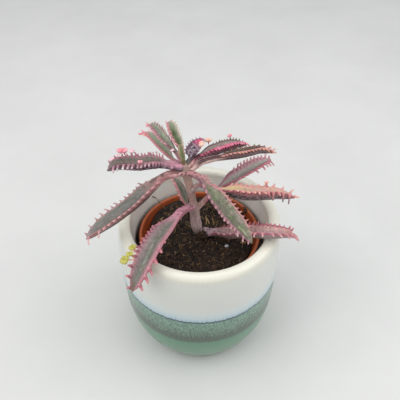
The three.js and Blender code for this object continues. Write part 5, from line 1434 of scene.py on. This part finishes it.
        base_marks=0.95, streak_mid=((150, 152, 142), 0.20, 0.7), spots=0.15, face=[(0.0, (157, 132, 130)), (0.08, (123, 125, 116)), (0.2, (129, 130, 125)), (0.45, (136, 129, 123)), (0.55, (128, 123, 113)), (0.74, (140, 124, 120)), (0.82, (197, 122, 127)), (0.92, (222, 144, 150)), (1.0, (212, 133, 140))],
        under=[(0.0, (174, 135, 140)), (0.3, (125, 98, 101)), (0.5, (106, 85, 85)), (0.8, (106, 80, 77)), (1.0, (163, 118, 116))],
        mottle=0.22, blotch=0.4, flush=((150, 150, 140), 0.35, 0.5, 0.7), base=((206, 154, 152), 0.14, 0.42), tip=((170, 150, 154), 0.86, 1.0),
        edgeA=dict(x0=0.62, x1=0.80, band=(200, 150, 150), dash=(134, 86, 86), dash_amount=0.7), edgeB=dict(x0=0.88, x1=0.99, band=(190, 146, 144), dash=(110, 84, 84), dash_amount=0.5),
        toothA=[(186, 120, 124), (208, 148, 150), (226, 178, 176)], toothB=[(146, 110, 112), (184, 140, 142), (214, 182, 178)]),
    "leaf_front_left": dict(
        base_marks=0.7, streak_mid=((164, 168, 150), 0.50, 0.45), spots=0.3, face=[(0.0, (196, 134, 140)), (0.09, (158, 112, 118)), (0.2, (134, 112, 114)), (0.36, (114, 110, 102)), (0.5, (96, 104, 88)), (0.62, (110, 110, 100)), (0.76, (146, 120, 122)), (0.88, (190, 134, 140)), (1.0, (206, 146, 152))],
        under=[(0.0, (186, 120, 134)), (0.3, (150, 110, 122)), (0.5, (120, 96, 104)), (1.0, (190, 126, 140))],
        mottle=0.35, blotch=0.4, flush=((166, 140, 146), 0.28, 0.5, 0.7), base=((214, 150, 168), 0.16, 0.38), tip=((132, 98, 76), 0.90, 1.0),
        edgeA=dict(x0=0.80, x1=0.97, band=(196, 136, 144), dash=(140, 84, 100), dash_amount=0.55), edgeB=dict(x0=0.78, x1=0.96, band=(182, 120, 130), dash=(104, 58, 78), dash_amount=0.85, gaps=False, d0=0.66, d1=0.9),
        toothA=[(150, 78, 92), (182, 104, 116), (206, 140, 146)], toothB=[(156, 84, 96), (188, 114, 122), (212, 152, 156)]),
    "leaf_rising_left": dict(
        spots=0.12, face=[(0.0, (125, 121, 116)), (0.25, (131, 131, 119)), (0.42, (97, 110, 82)), (0.55, (89, 107, 72)), (0.66, (116, 117, 98)), (0.76, (173, 126, 129)), (1.0, (189, 150, 149))],
        under=[(0.0, (150, 136, 134)), (0.5, (116, 112, 96)), (1.0, (190, 130, 136))],
        mottle=0.2, blotch=0.25, base=((196, 150, 158), 0.0, 0.2), tip=((186, 150, 140), 0.9, 1.0),
        edgeA=dict(x0=0.66, x1=0.86, band=(218, 146, 154), dash=(176, 104, 114), dash_amount=0.35), edgeB=dict(x0=0.86, x1=0.98, band=(196, 180, 174)),
        toothA=[(222, 160, 146), (234, 190, 166), (240, 206, 182)], toothB=[(190, 150, 148), (206, 172, 166), (222, 198, 190)]),
}


def make_leaves():
    for i, (name, spec) in enumerate(LEAVES.items()):
        look = dict(LOOKS[name])
        look["half"] = spec["half"]
        look["length"] = Blade(name, 41).length
        make_leaf(name, spec, leaf_material(name, look), 100 + 17 * i)


# ---------------------------------------------------------------- plantlets

PLANTLETS = [
    ("plantlet_far_left_large", (-59.6, 7.9, 202.6), (-57.27, 6.46, 199.95), 10, (4.6, 2.9), "pink"),
    ("plantlet_far_left_round", (-52.5, 8.4, 202.4), (-53.11, 6.91, 200.09), 70, (2.6, 2.3), "pale"),
    ("plantlet_far_left_small", (-63.1, 5.6, 199.9), (-61.89, 5.02, 198.69), 0, (2.1, 1.6), "pale"),
    ("plantlet_far_left_tip", (-67.9, 3.8, 198.1), (-66.64, 3.52, 197.46), 30, (2.0, 1.6), "pale"),
    ("plantlet_far_left_near", (-44.7, -5.2, 202.5), (-45.22, -5.38, 201.01), 15, (2.0, 1.7), "pink"),
    ("plantlet_upper_left_curl", (-56.1, 84.4, 164.8), (-52.92, 85.25, 166.24), 150, (2.0, 1.4), "pink"),
    ("plantlet_upper_left_peach", (-50.6, 71.1, 172.6), (-49.08, 71.57, 173.31), 120, (1.7, 1.3), "peach"),
    ("plantlet_upper_left_pink", (-45.1, 56.1, 193.6), (-43.65, 56.76, 193.59), 60, (1.6, 1.5), "pink"),
    ("plantlet_crown_pale", (-21.6, 17.0, 196.4), (-20.57, 17.93, 194.52), 45, (1.8, 1.6), "pale"),
    ("plantlet_back_peach_a", (1.7, 11.6, 206.6), (1.12, 11.99, 203.90), 80, (2.9, 2.7), "peach"),
    ("plantlet_back_peach_b", (7.1, 25.4, 200.4), (7.49, 24.24, 198.24), 20, (3.1, 2.7), "peach"),
    ("plantlet_right_pink", (25.0, 37.6, 196.0), (25.65, 37.23, 194.24), 35, (2.4, 1.7), "pink"),
    ("plantlet_salmon", (54.8, 7.0, 171.2), (55.54, 5.61, 169.60), 0, (2.2, 1.5), "peach"),
    ("plantlet_green_upper", (-50.9, -48.0, 154.0), (-47.77, -49.75, 152.13), 60, (2.9, 2.7), "green"),
    ("plantlet_green_middle", (-52.6, -53.0, 152.0), (-49.60, -54.26, 149.69), 20, (2.8, 2.6), "green"),
    ("plantlet_green_lower", (-56.4, -57.2, 150.2), (-50.77, -55.56, 148.73), 75, (3.7, 3.4), "green"),
]
PLANTLET_LOOKS = {
    "pink": [(222, 128, 142), (232, 150, 162), (246, 196, 200)],
    "pale": [(222, 162, 176), (238, 196, 204), (252, 236, 236)],
    "peach": [(228, 150, 140), (240, 186, 166), (250, 220, 200)],
    "green": [(150, 146, 58), (184, 178, 84), (206, 200, 118)],
}


def plantlet_material(kind):
    a, b, c = PLANTLET_LOOKS[kind]
    t = Tree("plantlet_" + kind)
    r = t.attr("rise")
    n = t.noise(420.0, 3.0, 0.6)
    g = t.noise(1500.0, 3.0, 0.7)
    col = t.ramp(t.math("ADD", r, t.math("MULTIPLY", t.math("SUBTRACT", n, 0.5), 0.5), True), [(0.1, a), (0.5, b), (0.92, c)])
    spot = (176, 70, 100) if kind != "green" else (120, 116, 40)
    col = t.mix(t.math("MULTIPLY", t.span(g, 0.56, 0.72), 0.4), col, lin(spot))
    col = t.mix(t.span(t.attr("stalk"), 0.3, 0.7), col, lin((206, 130, 136) if kind != "green" else (214, 160, 120)))
    return t.finish(col, 0.42, t.bump(t.math("ADD", n, t.math("MULTIPLY", g, 0.3)), 0.3, 0.0003), Subsurface_Weight=0.15, Subsurface_Scale=0.0012, IOR=1.42)


def leaflet(length, wide, thick, turn_z, tilt, roll, at, cup=0.25):
    """A fat little leaf: a spoon-shaped ellipsoid with a hollow along the top."""
    v, f = ico(3)
    v = v.copy()
    x, y, z = v[:, 0], v[:, 1], v[:, 2]
    taper = 1 - 0.12 * x
    v = np.stack([x * length, y * wide * taper, z * thick * (1 - 0.15 * x)], 1)
    v[:, 2] -= cup * thick * np.exp(-(y / 0.35) ** 2) * np.clip(z, 0, 1) * (1 - x ** 2)
    v[:, 2] += 0.22 * length * (x * 0.5 + 0.5) ** 2 * 0.5
    v[:, 0] += length * 0.85
    for ang, (p, q) in ((roll, (1, 2)), (tilt, (2, 0)), (turn_z, (0, 1))):
        c, s = math.cos(math.radians(ang)), math.sin(math.radians(ang))
        a, b = v[:, p].copy(), v[:, q].copy()
        v[:, p], v[:, q] = a * c - b * s, a * s + b * c
    return v + np.asarray(at, float), None, f


def make_plantlets():
    mats = {k: plantlet_material(k) for k in PLANTLET_LOOKS}
    for i, (name, at, foot, turn, (a, bsz), kind) in enumerate(PLANTLETS):
        rng = np.random.default_rng(900 + i)
        at, foot = np.array(at), np.array(foot)
        lead = at - foot
        parts = []
        if kind == "green":
            # two fat rounded leaflets face to face
            for k in (0, 1):
                parts.append(leaflet(a * 0.56, bsz * 0.92, bsz * 0.66, turn + 180 * k + rng.uniform(-12, 12), -12, rng.uniform(-15, 15), at - (0, 0, 0.15 * a), 0.2))
        else:
            for k in (0, 1):
                parts.append(leaflet(a * 0.56, max(a * 0.52, bsz * 0.80), bsz * 0.60, turn + 180 * k + rng.uniform(-14, 14), -14 + rng.uniform(-8, 8), rng.uniform(-20, 20), at, 0.22))
            for k in (0, 1):
                parts.append(leaflet(a * 0.26, bsz * 0.36, bsz * 0.26, turn + 90 + 180 * k + rng.uniform(-14, 14), -55, rng.uniform(-20, 20), at + (0, 0, 0.10 * a), 0.2))
        n_leaf = sum(len(p[0]) for p in parts)
        start = foot - lead / np.linalg.norm(lead) * 1.0
        mid = 0.5 * (start + at) + (0, 0, -0.25)
        parts.append(tube(dense([start, mid, at], 0.35), np.full(len(dense([start, mid, at], 0.35)), 0.5), 8))
        v, faces = stack(parts)
        v, faces = fused(v, faces, 0.26 if a < 2.6 else 0.30, 2)
        v, faces = thinned(v, faces, 0.6)
        nrm = vertex_normals(v, faces)
        v = v + nrm * 0.05 * wave_noise(v, 70 + i, 1.8, 2)[:, None]
        far = np.linalg.norm(v - at, axis=1) / (1.35 * a)
        ax = lead / np.linalg.norm(lead)
        h = (v - foot) @ ax
        dist = np.linalg.norm((v - foot) - h[:, None] * ax, axis=1)
        stalk = smooth(0.9, 0.6, dist) * smooth(np.linalg.norm(lead) * 0.8, np.linalg.norm(lead) * 0.45, h)
        piece(name + "_pair", v, faces, mats[kind], [name], {"rise": np.clip(far, 0, 1), "stalk": stalk})


# ---------------------------------------------------------------- stage and light


def make_stage():
    me = bpy.data.meshes.new("floor")
    n = 2
    me.from_pydata([(-9, -9, -0.0002), (9, -9, -0.0002), (9, 9, -0.0002), (-9, 9, -0.0002)], [], [(0, 1, 2, 3)])
    floor = bpy.data.objects.new("floor", me)
    SCENE.collection.objects.link(floor)
    t = Tree("floor")
    n1 = t.noise(6.0, 4.0, 0.6)
    col = t.ramp(n1, [(0.3, (214, 214, 212)), (0.7, (222, 222, 220))])
    t.finish(col, 0.85)
    me.materials.append(t.mat)

    world = bpy.data.worlds.new("studio")
    world.use_nodes = True
    SCENE.world = world
    nt = world.node_tree
    nt.nodes.clear()
    out = nt.nodes.new("ShaderNodeOutputWorld")
    bg = nt.nodes.new("ShaderNodeBackground")
    bg.inputs["Color"].default_value = (0.96, 0.98, 1.0, 1)
    bg.inputs["Strength"].default_value = 0.54
    nt.links.new(bg.outputs[0], out.inputs[0])

    def area(name, loc, aim, size, power, color=(1, 1, 1)):
        d = bpy.data.lights.new(name, "AREA")
        d.shape = "RECTANGLE"
        d.size, d.size_y = size
        d.energy = power
        d.color = color
        o = bpy.data.objects.new(name, d)
        o.location = loc
        o.rotation_euler = (Vector(aim) - Vector(loc)).to_track_quat("-Z", "Y").to_euler()
        SCENE.collection.objects.link(o)

    area("key", (-1.0, -0.45, 1.05), (0, 0, 0.12), (1.0, 1.0), 6.2, (1.0, 0.985, 0.96))
    area("top", (-0.15, 0.1, 1.35), (0, 0, 0.12), (1.3, 1.3), 6.8, (0.98, 0.99, 1.0))
    area("fill", (1.05, -0.2, 1.0), (0, 0, 0.12), (1.1, 1.1), 6.4, (1.0, 1.0, 1.0))
    area("front", (0.5, -1.2, 0.6), (0, 0, 0.1), (1.2, 0.7), 0.8, (1.0, 1.0, 1.0))


SCENE.view_settings.view_transform = "Standard"
SCENE.view_settings.look = "None"

make_stage()
make_cachepot()
make_nursery_pot()
make_stem()
_, soil_top = make_soil()
make_crumbs(soil_top)
make_fibres(soil_top)
make_perlite()
make_rootlet()
make_leaves()
make_plantlets()
